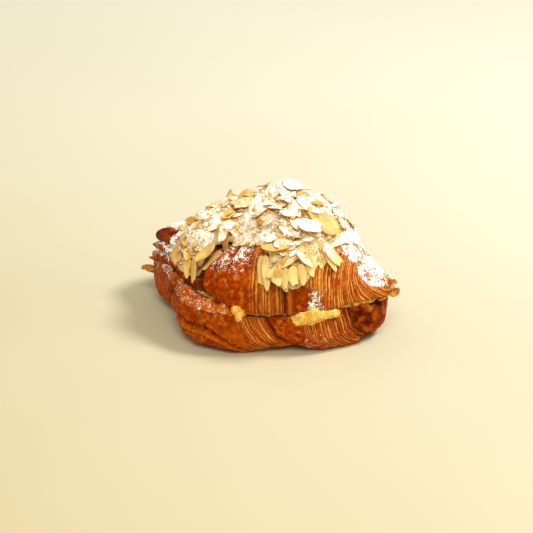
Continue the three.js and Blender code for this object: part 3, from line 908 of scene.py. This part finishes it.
def flake_points(u, v, lie, seed):
    """A thin slice of almond with a rounded edge, cupped and a little wavy."""
    middle, axes, length, width, bend = lie
    draw = np.random.default_rng(seed)
    phase = draw.uniform(0, 6.28, 6)
    t = 1 - 2 * u
    broken = draw.uniform() < BROKEN_SHARE
    reach = unit(1 - np.abs(t) ** 2.15) ** 0.5
    taper = 1 - 0.3 * t + 0.05 * np.sin(3 * t + phase[0])
    half = 0.5 * width * reach * taper
    round_about = 2 * np.pi * v
    side = np.cos(round_about)
    uneven = 1 + 0.05 * np.sin(7 * t + phase[1]) + 0.03 * np.sin(17 * t + phase[2]) * side
    y = half * side * uneven
    x = 0.5 * length * t
    if broken:
        cut = 0.5 * length * draw.uniform(0.45, 0.75)
        x = np.minimum(x, cut + 0.6 * np.sin(1.3 * y + phase[3]))
    thick = FLAKE_HALF_THICK * powered(np.sin(round_about), 0.45) * (0.25 + 0.75 * np.sqrt(reach))
    cup = draw.uniform(-0.35, 0.55)
    z = thick + bend * t**2 + cup * (y / (0.5 * width)) ** 2 + 0.22 * np.sin(2.6 * t + phase[4])
    z = z + 0.18 * np.sin(0.9 * y + phase[5])
    points = middle + np.stack([x, y, z - 0.33 * bend], -1) @ axes
    rim = smooth(0.72, 0.97, np.maximum(np.abs(side), np.abs(t) ** 3))
    return points, rim, draw


def flake_mesh(name, lie, seed, grid=FLAKE_GRID, toast_and_painted_shade=None):
    def place(u, v):
        points, rim, draw = flake_points(u, v, lie, seed)
        # painted shade: flakes towards the broad end are browner; painted light: flakes towards the
        # thin end hold more sugar, so look whiter
        shaded = float(smooth(0, -25, lie[0][0]))
        toast_with_shade = draw.uniform(0.4 * shaded, 0.3 + 0.7 * shaded) if toast_and_painted_shade is None else toast_and_painted_shade
        up = smooth(0.35, 0.95, lie[1][2, 2])
        top = np.sin(2 * np.pi * v) > 0.1
        low = smooth(56, 48, points[:, 2]) * smooth(5, -5, points[:, 1])
        lit = float(smooth(-8, 16, lie[0][0]))
        caught_and_lit = blend(0.25 + 0.6 * lit, 0.7 + 0.6 * lit, draw.uniform() ** 0.7)
        drifts = 0.45 * value_noise(points, 2.6, 121) + 0.2 * value_noise(points, 1.1, 122)
        dusting = unit(up * (caught_and_lit + drifts) * (1 - 0.85 * low) * (1 - 0.6 * rim))
        attributes = {
            "rim": rim,
            "toast_and_painted_shade": np.full(len(u), toast_with_shade),
            "dusting": np.where(top, dusting, 0.12 * dusting),
            "grain": points @ lie[1][1],
        }
        return points, attributes

    return wrapped(name, *grid, place)


def joined(name, meshes):
    """Several meshes as one."""
    bm = bmesh.new()
    for mesh in meshes:
        bm.from_mesh(mesh)
        bpy.data.meshes.remove(mesh)
    return mesh_from(bm, name)


def cream_lie(draw, along, over, size, lift, tilt):
    """A chance lie for something that rests on the topping."""
    points, normals = on_cream(np.array([along]), np.array([over]), 1.4 + lift)
    middle = points[0] + SECTIONS_AT
    normal = normals[0] + draw.normal(0, tilt, 3) + np.array([0, 0, 0.5])
    normal /= np.linalg.norm(normal)
    heading = draw.normal(0, 1, 3)
    first = heading - normal * heading.dot(normal)
    first /= np.linalg.norm(first)
    axes = np.stack([first, np.cross(normal, first), normal])
    return middle, axes, size[0], size[1], draw.uniform(-0.6, 1.0)


def spanning_lie(start, end, lift, width, roll, bend):
    """How a flake lies whose two ends are over these places on the lid, each an x and an angle."""
    x = np.array([start[0], end[0]])
    share = 1 - np.array([start[1], end[1]]) / 180
    normals = out_of_lid(x, share)
    ends = lid_skin(x, share) + normals * lift + SECTIONS_AT
    first = ends[1] - ends[0]
    length = np.linalg.norm(first)
    first /= length
    out = normals.mean(axis=0)
    out -= first * out.dot(first)
    out /= np.linalg.norm(out)
    out = out * math.cos(roll) + np.cross(out, first) * math.sin(roll)
    axes = np.stack([first, np.cross(out, first), out])
    return ends.mean(axis=0), axes, length, width, bend


# The long flakes that are laid one by one: where each starts and ends, its lift above the lid,
# width, roll, bend and toast.
LONG_FLAKES = [
    # the peak
    ((4.5, 81), (15.5, 79), 17.2, 9.4, -0.45, 0.7, 0.25),
    ((1.0, 84), (14.0, 92), 15.6, 6.2, -0.3, 0.8, 0.7),
    ((14.5, 82), (28.5, 92), 16.6, 5.6, -0.15, 0.5, 0.5),
    ((20.5, 97), (29.8, 99), 15.6, 4.6, -0.2, 0.5, 0.6),
    ((20.5, 112), (34.0, 110), 13.6, 7.8, -0.15, 1.2, 0.6),
    ((13.0, 126), (25.0, 128), 10.0, 5.4, -0.3, 0.6, 0.4),
    # the fan over the middle
    ((10.6, 133), (13.4, 161), 6.0, 4.8, 0.1, -0.8, 0.2),
    ((9.5, 129), (21.5, 131), 8.0, 4.6, -0.5, 0.6, 0.3),
    ((12.5, 151), (22.5, 136), 8.0, 4.4, -0.3, 0.5, 0.25),
    ((16.5, 144), (28.0, 124), 9.4, 4.8, -0.2, 0.4, 0.2),
    ((15.0, 146), (17.8, 157), 7.2, 5.4, 0.2, 0.6, 0.1),
    ((18.5, 143), (20.2, 159), 7.8, 5.2, -0.4, 0.8, 0.05),
    ((22.0, 142), (24.6, 159), 8.4, 5.8, 0.35, 0.9, 0.05),
    ((25.5, 140), (27.8, 156), 8.8, 5.0, -0.5, 0.9, 0.1),
    ((28.5, 138), (31.5, 149), 8.4, 4.8, 0.4, 0.6, 0.1),
    ((23.0, 131), (31.0, 143), 10.0, 4.6, 0.3, 0.5, 0.15),
    ((35.0, 119), (44.5, 134), 5.5, 6.4, 0.1, 0.8, 0.15),
    # the groove beside the broad end, where the flakes are browned, partly as painted shade
    ((-30.5, 148), (-25.0, 162), 5.6, 7.6, 0.1, 0.6, 0.95),
    ((-24.5, 139), (-18.0, 151), 7.0, 6.6, 0.2, 0.5, 1.0),
    ((-20.5, 147), (-16.6, 167), 7.4, 4.4, 0.3, -0.6, 0.8),
    ((-15.5, 149), (-13.6, 166), 7.0, 3.6, -0.3, -0.6, 0.8),
    ((-9.0, 133), (-15.0, 152), 8.2, 5.8, 0.1, 0.5, 0.8),
    ((-13.6, 107), (-6.5, 134), 8.5, 5.0, 0.2, -0.8, 1.0),
]


def long_flakes():
    """The long flakes on the peak and at the hanging edge, fanned over one another."""
    pieces = []
    for i, (start, end, lift, width, roll, bend, toast_and_painted_shade) in enumerate(LONG_FLAKES):
        lie = spanning_lie(start, end, lift, width, roll, bend)
        pieces.append(flake_mesh(f"long_{i}", lie, LONG_SEED + i, FLAKE_GRID, toast_and_painted_shade))
    return joined("fanned_almonds", pieces)


def loose_slivers():
    """Small broken flakes and slivers, pressed into the cream between the whole flakes."""
    draw = np.random.default_rng(SLIVER_SEED)
    pieces = []
    for i in range(SLIVERS):
        length = draw.uniform(3.5, 10)
        size = (length, length * draw.uniform(0.3, 0.62))
        spot = (draw.uniform(0.04, 0.95), draw.uniform(0.04, 0.95))
        lie = cream_lie(draw, *spot, size, draw.uniform(-1.0, 0.7), 0.42)
        toast_and_painted_shade = draw.uniform(0.1, 0.95) ** 1.5
        pieces.append(flake_mesh(f"sliver_{i}", lie, SLIVER_SEED + i, SLIVER_GRID, toast_and_painted_shade))
    return joined("almond_slivers", pieces)


def crumbs():
    """Crumbs of cream and almond, strewn over the topping."""
    draw = np.random.default_rng(CRUMB_SEED)
    bm = bmesh.new()
    values = {"dusting": [], "toast_and_painted_shade": [], "rim": [], "grain": []}
    for _ in range(CRUMBS):
        along, over = draw.uniform(0.04, 0.95), draw.uniform(0.02, 0.97)
        points, normals = on_cream(np.array([along]), np.array([over]), draw.uniform(-0.2, 0.9))
        at = Vector((points[0] + SECTIONS_AT) * MM)
        size = draw.uniform(0.35, 1.2) * MM
        shape = Matrix.Diagonal((size * draw.uniform(1, 2.2), size, size * draw.uniform(0.5, 1), 1))
        turn = Matrix.Rotation(draw.uniform(0, 6.28), 4, Vector(draw.normal(0, 1, 3)))
        matrix = Matrix.Translation(at) @ turn @ shape
        made = bmesh.ops.create_icosphere(bm, subdivisions=1, radius=1, matrix=matrix)
        corners = len(made["verts"])
        toast_and_painted_shade = draw.uniform(0, 1) ** 1.5
        for key, value in zip(values, (draw.uniform(0.1, 0.8), toast_and_painted_shade, 0.3, 0.0)):
            values[key] += [value] * corners
    mesh = mesh_from(bm, "almond_crumbs")
    for key, numbers in values.items():
        write_attribute(mesh, key, numbers)
    return mesh


SHELTER_REACH = 4.5 * MM  # how high above a place something may be and still shelter it
SHELTER_WAYS = 5  # how many slanting ways are tried, beside straight up


def sheltered_and_shaded(meshes):
    """Sugar falls from above, so what lies under something else stays bare; it is browned there
    too, as painted shade.
    """
    whole = bmesh.new()
    for mesh in meshes:
        whole.from_mesh(mesh)
    surface = BVHTree.FromBMesh(whole)
    whole.free()
    turns = np.arange(SHELTER_WAYS) * 2 * np.pi / SHELTER_WAYS
    ways = [Vector((0, 0, 1))] + [Vector((0.6 * np.cos(a), 0.6 * np.sin(a), 0.8)) for a in turns]
    for mesh in meshes:
        covered = np.zeros(len(mesh.vertices))
        for i, vertex in enumerate(mesh.vertices):
            start = vertex.co + vertex.normal * (0.35 * MM)
            hits = [surface.ray_cast(start, way, SHELTER_REACH)[0] is not None for way in ways]
            covered[i] = sum(hits) / len(ways)
        dusting = read_attribute(mesh, "dusting") * (1 - 0.85 * smooth(0.3, 1.0, covered))
        # painted shade: browner under cover
        toast_and_painted_shade = read_attribute(mesh, "toast_and_painted_shade") + 0.55 * smooth(0.25, 0.95, covered)
        write_attribute(mesh, "dusting", dusting)
        write_attribute(mesh, "toast_and_painted_shade", unit(toast_and_painted_shade))


# ---- materials ----

SUGAR_WHITE = (0.97, 0.92, 0.81)
BAKE_TONE = (0.66, 0.53, 0.33)  # deepens the whole crust under its sugar
SUGAR_RISE = 0.0003


def new_material(name):
    material = bpy.data.materials.new(name)
    material.use_nodes = True
    return material, material.node_tree, material.node_tree.nodes["Principled BSDF"]


def node(tree, kind, **values):
    made = tree.nodes.new(kind)
    for key, value in values.items():
        setattr(made, key, value)
    return made


def feed(tree, value, socket):
    """Sets a socket to a number or a colour, or links another node's output to it."""
    if isinstance(value, (int, float)):
        socket.default_value = value
    elif isinstance(value, tuple):
        socket.default_value = (*value, 1)
    else:
        tree.links.new(value, socket)


def math_node(tree, operation, a, b):
    made = node(tree, "ShaderNodeMath", operation=operation)
    feed(tree, a, made.inputs[0])
    feed(tree, b, made.inputs[1])
    return made.outputs[0]


def times(tree, a, b):
    return math_node(tree, "MULTIPLY", a, b)


def attribute(tree, name):
    return node(tree, "ShaderNodeAttribute", attribute_name=name).outputs["Fac"]


def mixed(tree, amount, a, b, blend_type="MIX"):
    made = node(tree, "ShaderNodeMix", data_type="RGBA", blend_type=blend_type)
    for place, value in ((0, amount), (6, a), (7, b)):
        feed(tree, value, made.inputs[place])
    return made.outputs[2]


def coated(tree, colour, coats):
    """Lays coats over a colour, one after another, each with its mask and its own colour."""
    for mask, coat in coats:
        colour = mixed(tree, mask, colour, coat)
    return colour


def noise(tree, vector, scale, detail, roughness):
    made = node(tree, "ShaderNodeTexNoise")
    for key, value in (("Scale", scale), ("Detail", detail), ("Roughness", roughness)):
        made.inputs[key].default_value = value
    tree.links.new(vector, made.inputs["Vector"])
    return made.outputs["Fac"]


def ranged(tree, value, low, high, to_low=0.0, to_high=1.0):
    made = node(tree, "ShaderNodeMapRange", interpolation_type="SMOOTHSTEP")
    tree.links.new(value, made.inputs["Value"])
    limits = {"From Min": low, "From Max": high, "To Min": to_low, "To Max": to_high}
    for key, number in limits.items():
        made.inputs[key].default_value = number
    return made.outputs["Result"]


def bumped(tree, height, strength, distance, before=None):
    made = node(tree, "ShaderNodeBump")
    made.inputs["Strength"].default_value = strength
    made.inputs["Distance"].default_value = distance
    tree.links.new(height, made.inputs["Height"])
    if before is not None:
        tree.links.new(before, made.inputs["Normal"])
    return made.outputs["Normal"]


def object_coordinates(tree):
    return node(tree, "ShaderNodeTexCoord").outputs["Object"]


def own_coordinates(tree, *measures):
    """Coordinates made of a piece's own measures, for a pattern that follows its shape."""
    made = node(tree, "ShaderNodeCombineXYZ")
    for measure, socket in zip(measures, made.inputs):
        tree.links.new(measure, socket)
    return made.outputs[0]


def sugar_group():
    """Icing sugar: from how thickly it lies, a mask of grains and drifts, and their height."""
    group = bpy.data.node_groups.new("icing_sugar", "ShaderNodeTree")
    for name, way in (("Dusting", "INPUT"), ("Mask", "OUTPUT"), ("Height", "OUTPUT")):
        group.interface.new_socket(name, in_out=way, socket_type="NodeSocketFloat")
    dusting = group.nodes.new("NodeGroupInput").outputs["Dusting"]
    out = group.nodes.new("NodeGroupOutput")
    where = object_coordinates(group)
    grains = times(group, noise(group, where, 1500, 3, 0.7), 0.62)
    drifts = times(group, noise(group, where, 420, 2, 0.5), 0.38)
    spread = ranged(group, math_node(group, "ADD", grains, drifts), 0.3, 0.7)
    above = math_node(group, "SUBTRACT", spread, math_node(group, "SUBTRACT", 1.0, dusting))
    mask = times(group, ranged(group, above, -0.06, 0.1), ranged(group, dusting, 0.0, 0.06))
    fluff = math_node(group, "ADD", noise(group, where, 2600, 2, 0.6), 0.6)
    group.links.new(mask, out.inputs["Mask"])
    group.links.new(times(group, mask, fluff), out.inputs["Height"])
    return group


def sugared(tree, shader, sugar, colour, normal, strength):
    """Puts a colour and its bump on the shader, with the sugar over them, and gives its mask."""
    icing = node(tree, "ShaderNodeGroup", node_tree=sugar)
    tree.links.new(attribute(tree, "dusting"), icing.inputs["Dusting"])
    mask = icing.outputs["Mask"]
    tree.links.new(mixed(tree, mask, colour, SUGAR_WHITE), shader.inputs["Base Color"])
    normal = bumped(tree, icing.outputs["Height"], strength, SUGAR_RISE, normal)
    tree.links.new(normal, shader.inputs["Normal"])
    return mask


def set_gloss(shader, roughness, level):
    shader.inputs["Roughness"].default_value = roughness
    shader.inputs["Specular IOR Level"].default_value = level


def crust_material(sugar):
    """Baked dough: deep red-brown in the folds, with painted shade, orange on the skin, golden on
    the layers' edges.
    """
    material, tree, shader = new_material("baked_crust")
    where = object_coordinates(tree)
    layered = attribute(tree, "layered")
    # fine streaks that run with the layers
    lengthwise = times(tree, attribute(tree, "lengthwise"), 0.14)
    strand = own_coordinates(tree, attribute(tree, "strand"), lengthwise)
    streaks = noise(tree, strand, 2.6, 4, 0.65)
    groups = noise(tree, strand, 0.55, 2, 0.5)
    broad = noise(tree, where, 130, 3, 0.55)
    fine = noise(tree, where, 900, 3, 0.6)
    baked = noise(tree, where, 55, 3, 0.6)
    mottle = noise(tree, where, 420, 2, 0.5)

    skin = mixed(tree, ranged(tree, broad, 0.32, 0.66), (0.38, 0.035, 0.001), (0.64, 0.105, 0.002))
    mottles = [
        (ranged(tree, fine, 0.45, 0.75, 0, 0.4), (0.76, 0.24, 0.010)),
        (ranged(tree, mottle, 0.53, 0.66, 0, 0.6), (0.86, 0.33, 0.025)),
        (ranged(tree, mottle, 0.47, 0.34, 0, 0.5), (0.22, 0.018, 0.001)),
    ]
    skin = coated(tree, skin, mottles)
    in_valley = ranged(tree, broad, 0.35, 0.65)
    valley = mixed(tree, in_valley, (0.36, 0.040, 0.001), (0.60, 0.115, 0.003))
    crest = mixed(tree, ranged(tree, streaks, 0.38, 0.62), (0.98, 0.36, 0.025), (1.0, 0.78, 0.30))
    edges = mixed(tree, ranged(tree, attribute(tree, "layers"), 0.12, 0.6), valley, crest)
    edges = mixed(tree, ranged(tree, groups, 0.54, 0.68, 0, 0.55), edges, (0.30, 0.035, 0.001))
    heel = mixed(tree, ranged(tree, broad, 0.4, 0.62), (0.14, 0.013, 0.001), (0.66, 0.135, 0.011))
    crumb = mixed(tree, fine, (0.70, 0.36, 0.08), (0.86, 0.60, 0.22))
    coats = [
        (layered, edges),
        (times(tree, ranged(tree, streaks, 0.52, 0.72, 0, 0.55), layered), (1.0, 0.66, 0.28)),
        (ranged(tree, baked, 0.5, 0.7, 0, 0.45), (0.26, 0.024, 0.001)),
        # painted shade in cracks and folds, with the dark bake of the burnt end
        (times(tree, attribute(tree, "dark_bake_and_painted_shade"), 0.8), (0.085, 0.006, 0.001)),
        (attribute(tree, "heel"), heel),
        # painted highlight on edges, blisters and ridges
        (times(tree, attribute(tree, "edge"), 0.7), (0.80, 0.30, 0.03)),
        (times(tree, attribute(tree, "rim"), 0.55), (0.84, 0.45, 0.12)),
        (attribute(tree, "crumb"), crumb),
    ]
    colour = mixed(tree, 1.0, coated(tree, skin, coats), BAKE_TONE, "MULTIPLY")

    normal = bumped(tree, times(tree, streaks, layered), 0.6, 0.0004)
    normal = bumped(tree, mottle, 0.5, 0.0005, normal)
    normal = bumped(tree, fine, 0.35, 0.00025, normal)
    mask = sugared(tree, shader, sugar, colour, normal, 0.8)

    # the crust shines a little, in its own warm tone, and the sugar is matt
    rough = ranged(tree, fine, 0.3, 0.7, 0.36, 0.58)
    rough = math_node(tree, "MAXIMUM", rough, times(tree, mask, 0.95))
    tree.links.new(rough, shader.inputs["Roughness"])
    shader.inputs["Specular IOR Level"].default_value = 0.05
    shader.inputs["Specular Tint"].default_value = (1.0, 0.5, 0.12, 1)
    return material


def cream_material(sugar):
    """Baked almond cream: pale, grainy, toasted on its lumps, with painted shade in hollows; white
    where sugar lies.
    """
    material, tree, shader = new_material("almond_cream")
    where = object_coordinates(tree)
    broad = noise(tree, where, 210, 3, 0.6)
    fine = noise(tree, where, 1100, 3, 0.65)
    colour = mixed(tree, ranged(tree, broad, 0.35, 0.65), (0.86, 0.60, 0.20), (0.95, 0.82, 0.42))
    colour = mixed(tree, ranged(tree, fine, 0.35, 0.7, 0, 0.5), colour, (0.95, 0.89, 0.62))
    brown = mixed(tree, fine, (0.50, 0.19, 0.025), (0.76, 0.42, 0.10))
    # toast, with painted shade, browns the cream
    browned_and_shaded = times(tree, attribute(tree, "toast_and_painted_shade"), ranged(tree, broad, 0.35, 0.6))
    colour = mixed(tree, browned_and_shaded, colour, brown)
    sugared(tree, shader, sugar, colour, bumped(tree, fine, 0.6, 0.0005), 0.8)
    set_gloss(shader, 0.75, 0.3)
    return material


def filling_material(sugar):
    """The filling that was squeezed out: eggy yellow, golden where the oven caught it."""
    material, tree, shader = new_material("almond_filling")
    where = object_coordinates(tree)
    broad = noise(tree, where, 420, 3, 0.6)
    fine = noise(tree, where, 1100, 3, 0.65)
    colour = mixed(tree, ranged(tree, broad, 0.35, 0.68), (0.62, 0.25, 0.008), (0.86, 0.55, 0.07))
    colour = mixed(tree, ranged(tree, fine, 0.5, 0.68, 0, 0.85), colour, (0.98, 0.84, 0.42))
    sugared(tree, shader, sugar, colour, bumped(tree, fine, 0.7, 0.0005), 0.6)
    set_gloss(shader, 0.6, 0.25)
    return material


def almond_material(sugar):
    """Sliced almond: pale, faintly grained, golden to brown at its rim, where it toasted and as
    painted shade.
    """
    material, tree, shader = new_material("sliced_almond")
    where = object_coordinates(tree)
    fine = noise(tree, where, 800, 3, 0.6)
    broad = noise(tree, where, 150, 2, 0.5)
    lines = noise(tree, own_coordinates(tree, attribute(tree, "grain")), 3.2, 2, 0.6)
    colour = mixed(tree, ranged(tree, lines, 0.35, 0.7), (0.68, 0.45, 0.12), (0.88, 0.70, 0.30))
    golden = mixed(tree, ranged(tree, broad, 0.35, 0.65), (0.58, 0.28, 0.045), (0.80, 0.51, 0.15))
    # toast, with painted shade, browns the almond
    browned_and_shaded = times(tree, attribute(tree, "toast_and_painted_shade"), ranged(tree, fine, 0.25, 0.6, 0.45, 1))
    rim = times(tree, attribute(tree, "rim"), ranged(tree, broad, 0.35, 0.6, 0.35, 0.95))
    colour = coated(tree, colour, [(browned_and_shaded, golden), (rim, (0.62, 0.28, 0.045))])
    sugared(tree, shader, sugar, colour, bumped(tree, lines, 0.25, 0.0003), 0.7)
    set_gloss(shader, 0.55, 0.4)
    return material


def floor_material():
    """A pale floor with painted light: darker towards the front, lighter towards the back."""
    material, tree, shader = new_material("pale_floor")
    where = object_coordinates(tree)
    across = node(tree, "ShaderNodeVectorMath", operation="DOT_PRODUCT")
    across.inputs[1].default_value = FLOOR_PAINTED_LIGHT_WAY
    tree.links.new(where, across.inputs[0])
    tone = ranged(tree, noise(tree, where, 3.0, 2, 0.5), 0.3, 0.7, -0.04, 0.04)
    # painted light: the floor grows lighter towards the back
    painted_lightness = ranged(tree, math_node(tree, "ADD", across.outputs["Value"], tone), -0.45, 0.5)
    colour = mixed(tree, painted_lightness, (0.475, 0.398, 0.208), (0.685, 0.67, 0.555))
    tree.links.new(colour, shader.inputs["Base Color"])
    shader.inputs["Roughness"].default_value = 0.7
    return material


# ---- pieces ----


def make_pieces():
    sugar = sugar_group()
    crust = crust_material(sugar)
    almond = almond_material(sugar)
    shown(base_mesh(), crust, "base_crust", "croissant_base")
    shown(lid_mesh(), crust, "lid_crust", "croissant_lid")
    shown(torn_leaves(), crust, "lid_crust")
    shown(filling_mesh(), filling_material(sugar), "filling", "almond_cream_filling")
    nodes = sorted(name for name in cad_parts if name.startswith("almond_flake"))
    cream = topping_mesh()
    flakes = []
    for i, name in enumerate(nodes):
        piece = name.replace("almond_flake", "flaked_almond")
        flakes.append(flake_mesh(piece, lie_of(name), FLAKE_SEED + i))
    strewn = [long_flakes(), loose_slivers()]
    sheltered_and_shaded([cream, *flakes, *strewn])
    shown(cream, cream_material(sugar), "cream", "almond_cream_topping")
    for mesh, name in zip(flakes, nodes):
        shown(mesh, almond, "almond", name)
    for mesh in strewn:
        shown(mesh, almond, "almond")
    shown(crumbs(), almond, "almond")


# ---- floor, light and camera ----


FLOOR_REACH = 6.0
FLOOR_PAINTED_LIGHT_WAY = (0.25, 0.97, 0)  # the way in which the floor grows lighter
LAMP_AIM = Vector((0.0, 0.0, 0.03))
LAMPS = [  # name, place, size, power and colour
    ("key", (1.25, 0.7, 2.15), 0.75, 58.0, (1.0, 0.98, 0.95)),
    ("fill", (0.9, -1.55, 1.95), 1.2, 40.0, (1.0, 0.95, 0.82)),
]
SKY_COLOUR = (1.0, 0.95, 0.82, 1)
SKY_STRENGTH = 0.55


def make_floor():
    bm = bmesh.new()
    bmesh.ops.create_grid(bm, x_segments=1, y_segments=1, size=FLOOR_REACH)
    floor = in_scene("floor", mesh_from(bm, "floor"))
    floor.data.materials.append(floor_material())


def soft_light(name, at, size, power, colour):
    data = bpy.data.lights.new(name, "AREA")
    data.shape = "DISK"
    data.size = size
    data.energy = power
    data.color = colour
    lamp = in_scene(name, data)
    lamp.location = at
    lamp.rotation_euler = (Vector(at) - LAMP_AIM).to_track_quat("Z", "Y").to_euler()


def make_light():
    for lamp in LAMPS:
        soft_light(*lamp)
    world = bpy.data.worlds.new("studio")
    world.use_nodes = True
    background = world.node_tree.nodes["Background"]
    background.inputs["Color"].default_value = SKY_COLOUR
    background.inputs["Strength"].default_value = SKY_STRENGTH
    bpy.context.scene.world = world


CAMERA_AZIMUTH = 30.0
CAMERA_ELEVATION = 23.5
CAMERA_DISTANCE = 0.8
CAMERA_AIM = Vector((0.0019, 0.00204, 0.030))
CAMERA_ASIDE = (0.00243, 0.00243)  # how far right of the aim and above it the camera stands
CAMERA_LENS = 100
CAMERA_SENSOR = 36


def make_camera():
    turn = math.radians(CAMERA_AZIMUTH)
    rise = math.radians(CAMERA_ELEVATION)
    right = Vector((math.cos(turn), math.sin(turn), 0))
    flat = math.cos(rise)
    back = Vector((math.sin(turn) * flat, -math.cos(turn) * flat, math.sin(rise)))
    up = back.cross(right)
    data = bpy.data.cameras.new("camera")
    data.lens = CAMERA_LENS
    data.sensor_width = CAMERA_SENSOR
    camera = in_scene("camera", data)
    at = CAMERA_AIM + back * CAMERA_DISTANCE + right * CAMERA_ASIDE[0] + up * CAMERA_ASIDE[1]
    camera.matrix_world = Matrix.Translation(at) @ Matrix((right, up, back)).transposed().to_4x4()
    bpy.context.scene.camera = camera


bpy.context.scene.view_settings.view_transform = "Standard"
make_camera()
make_floor()
make_light()
make_pieces()
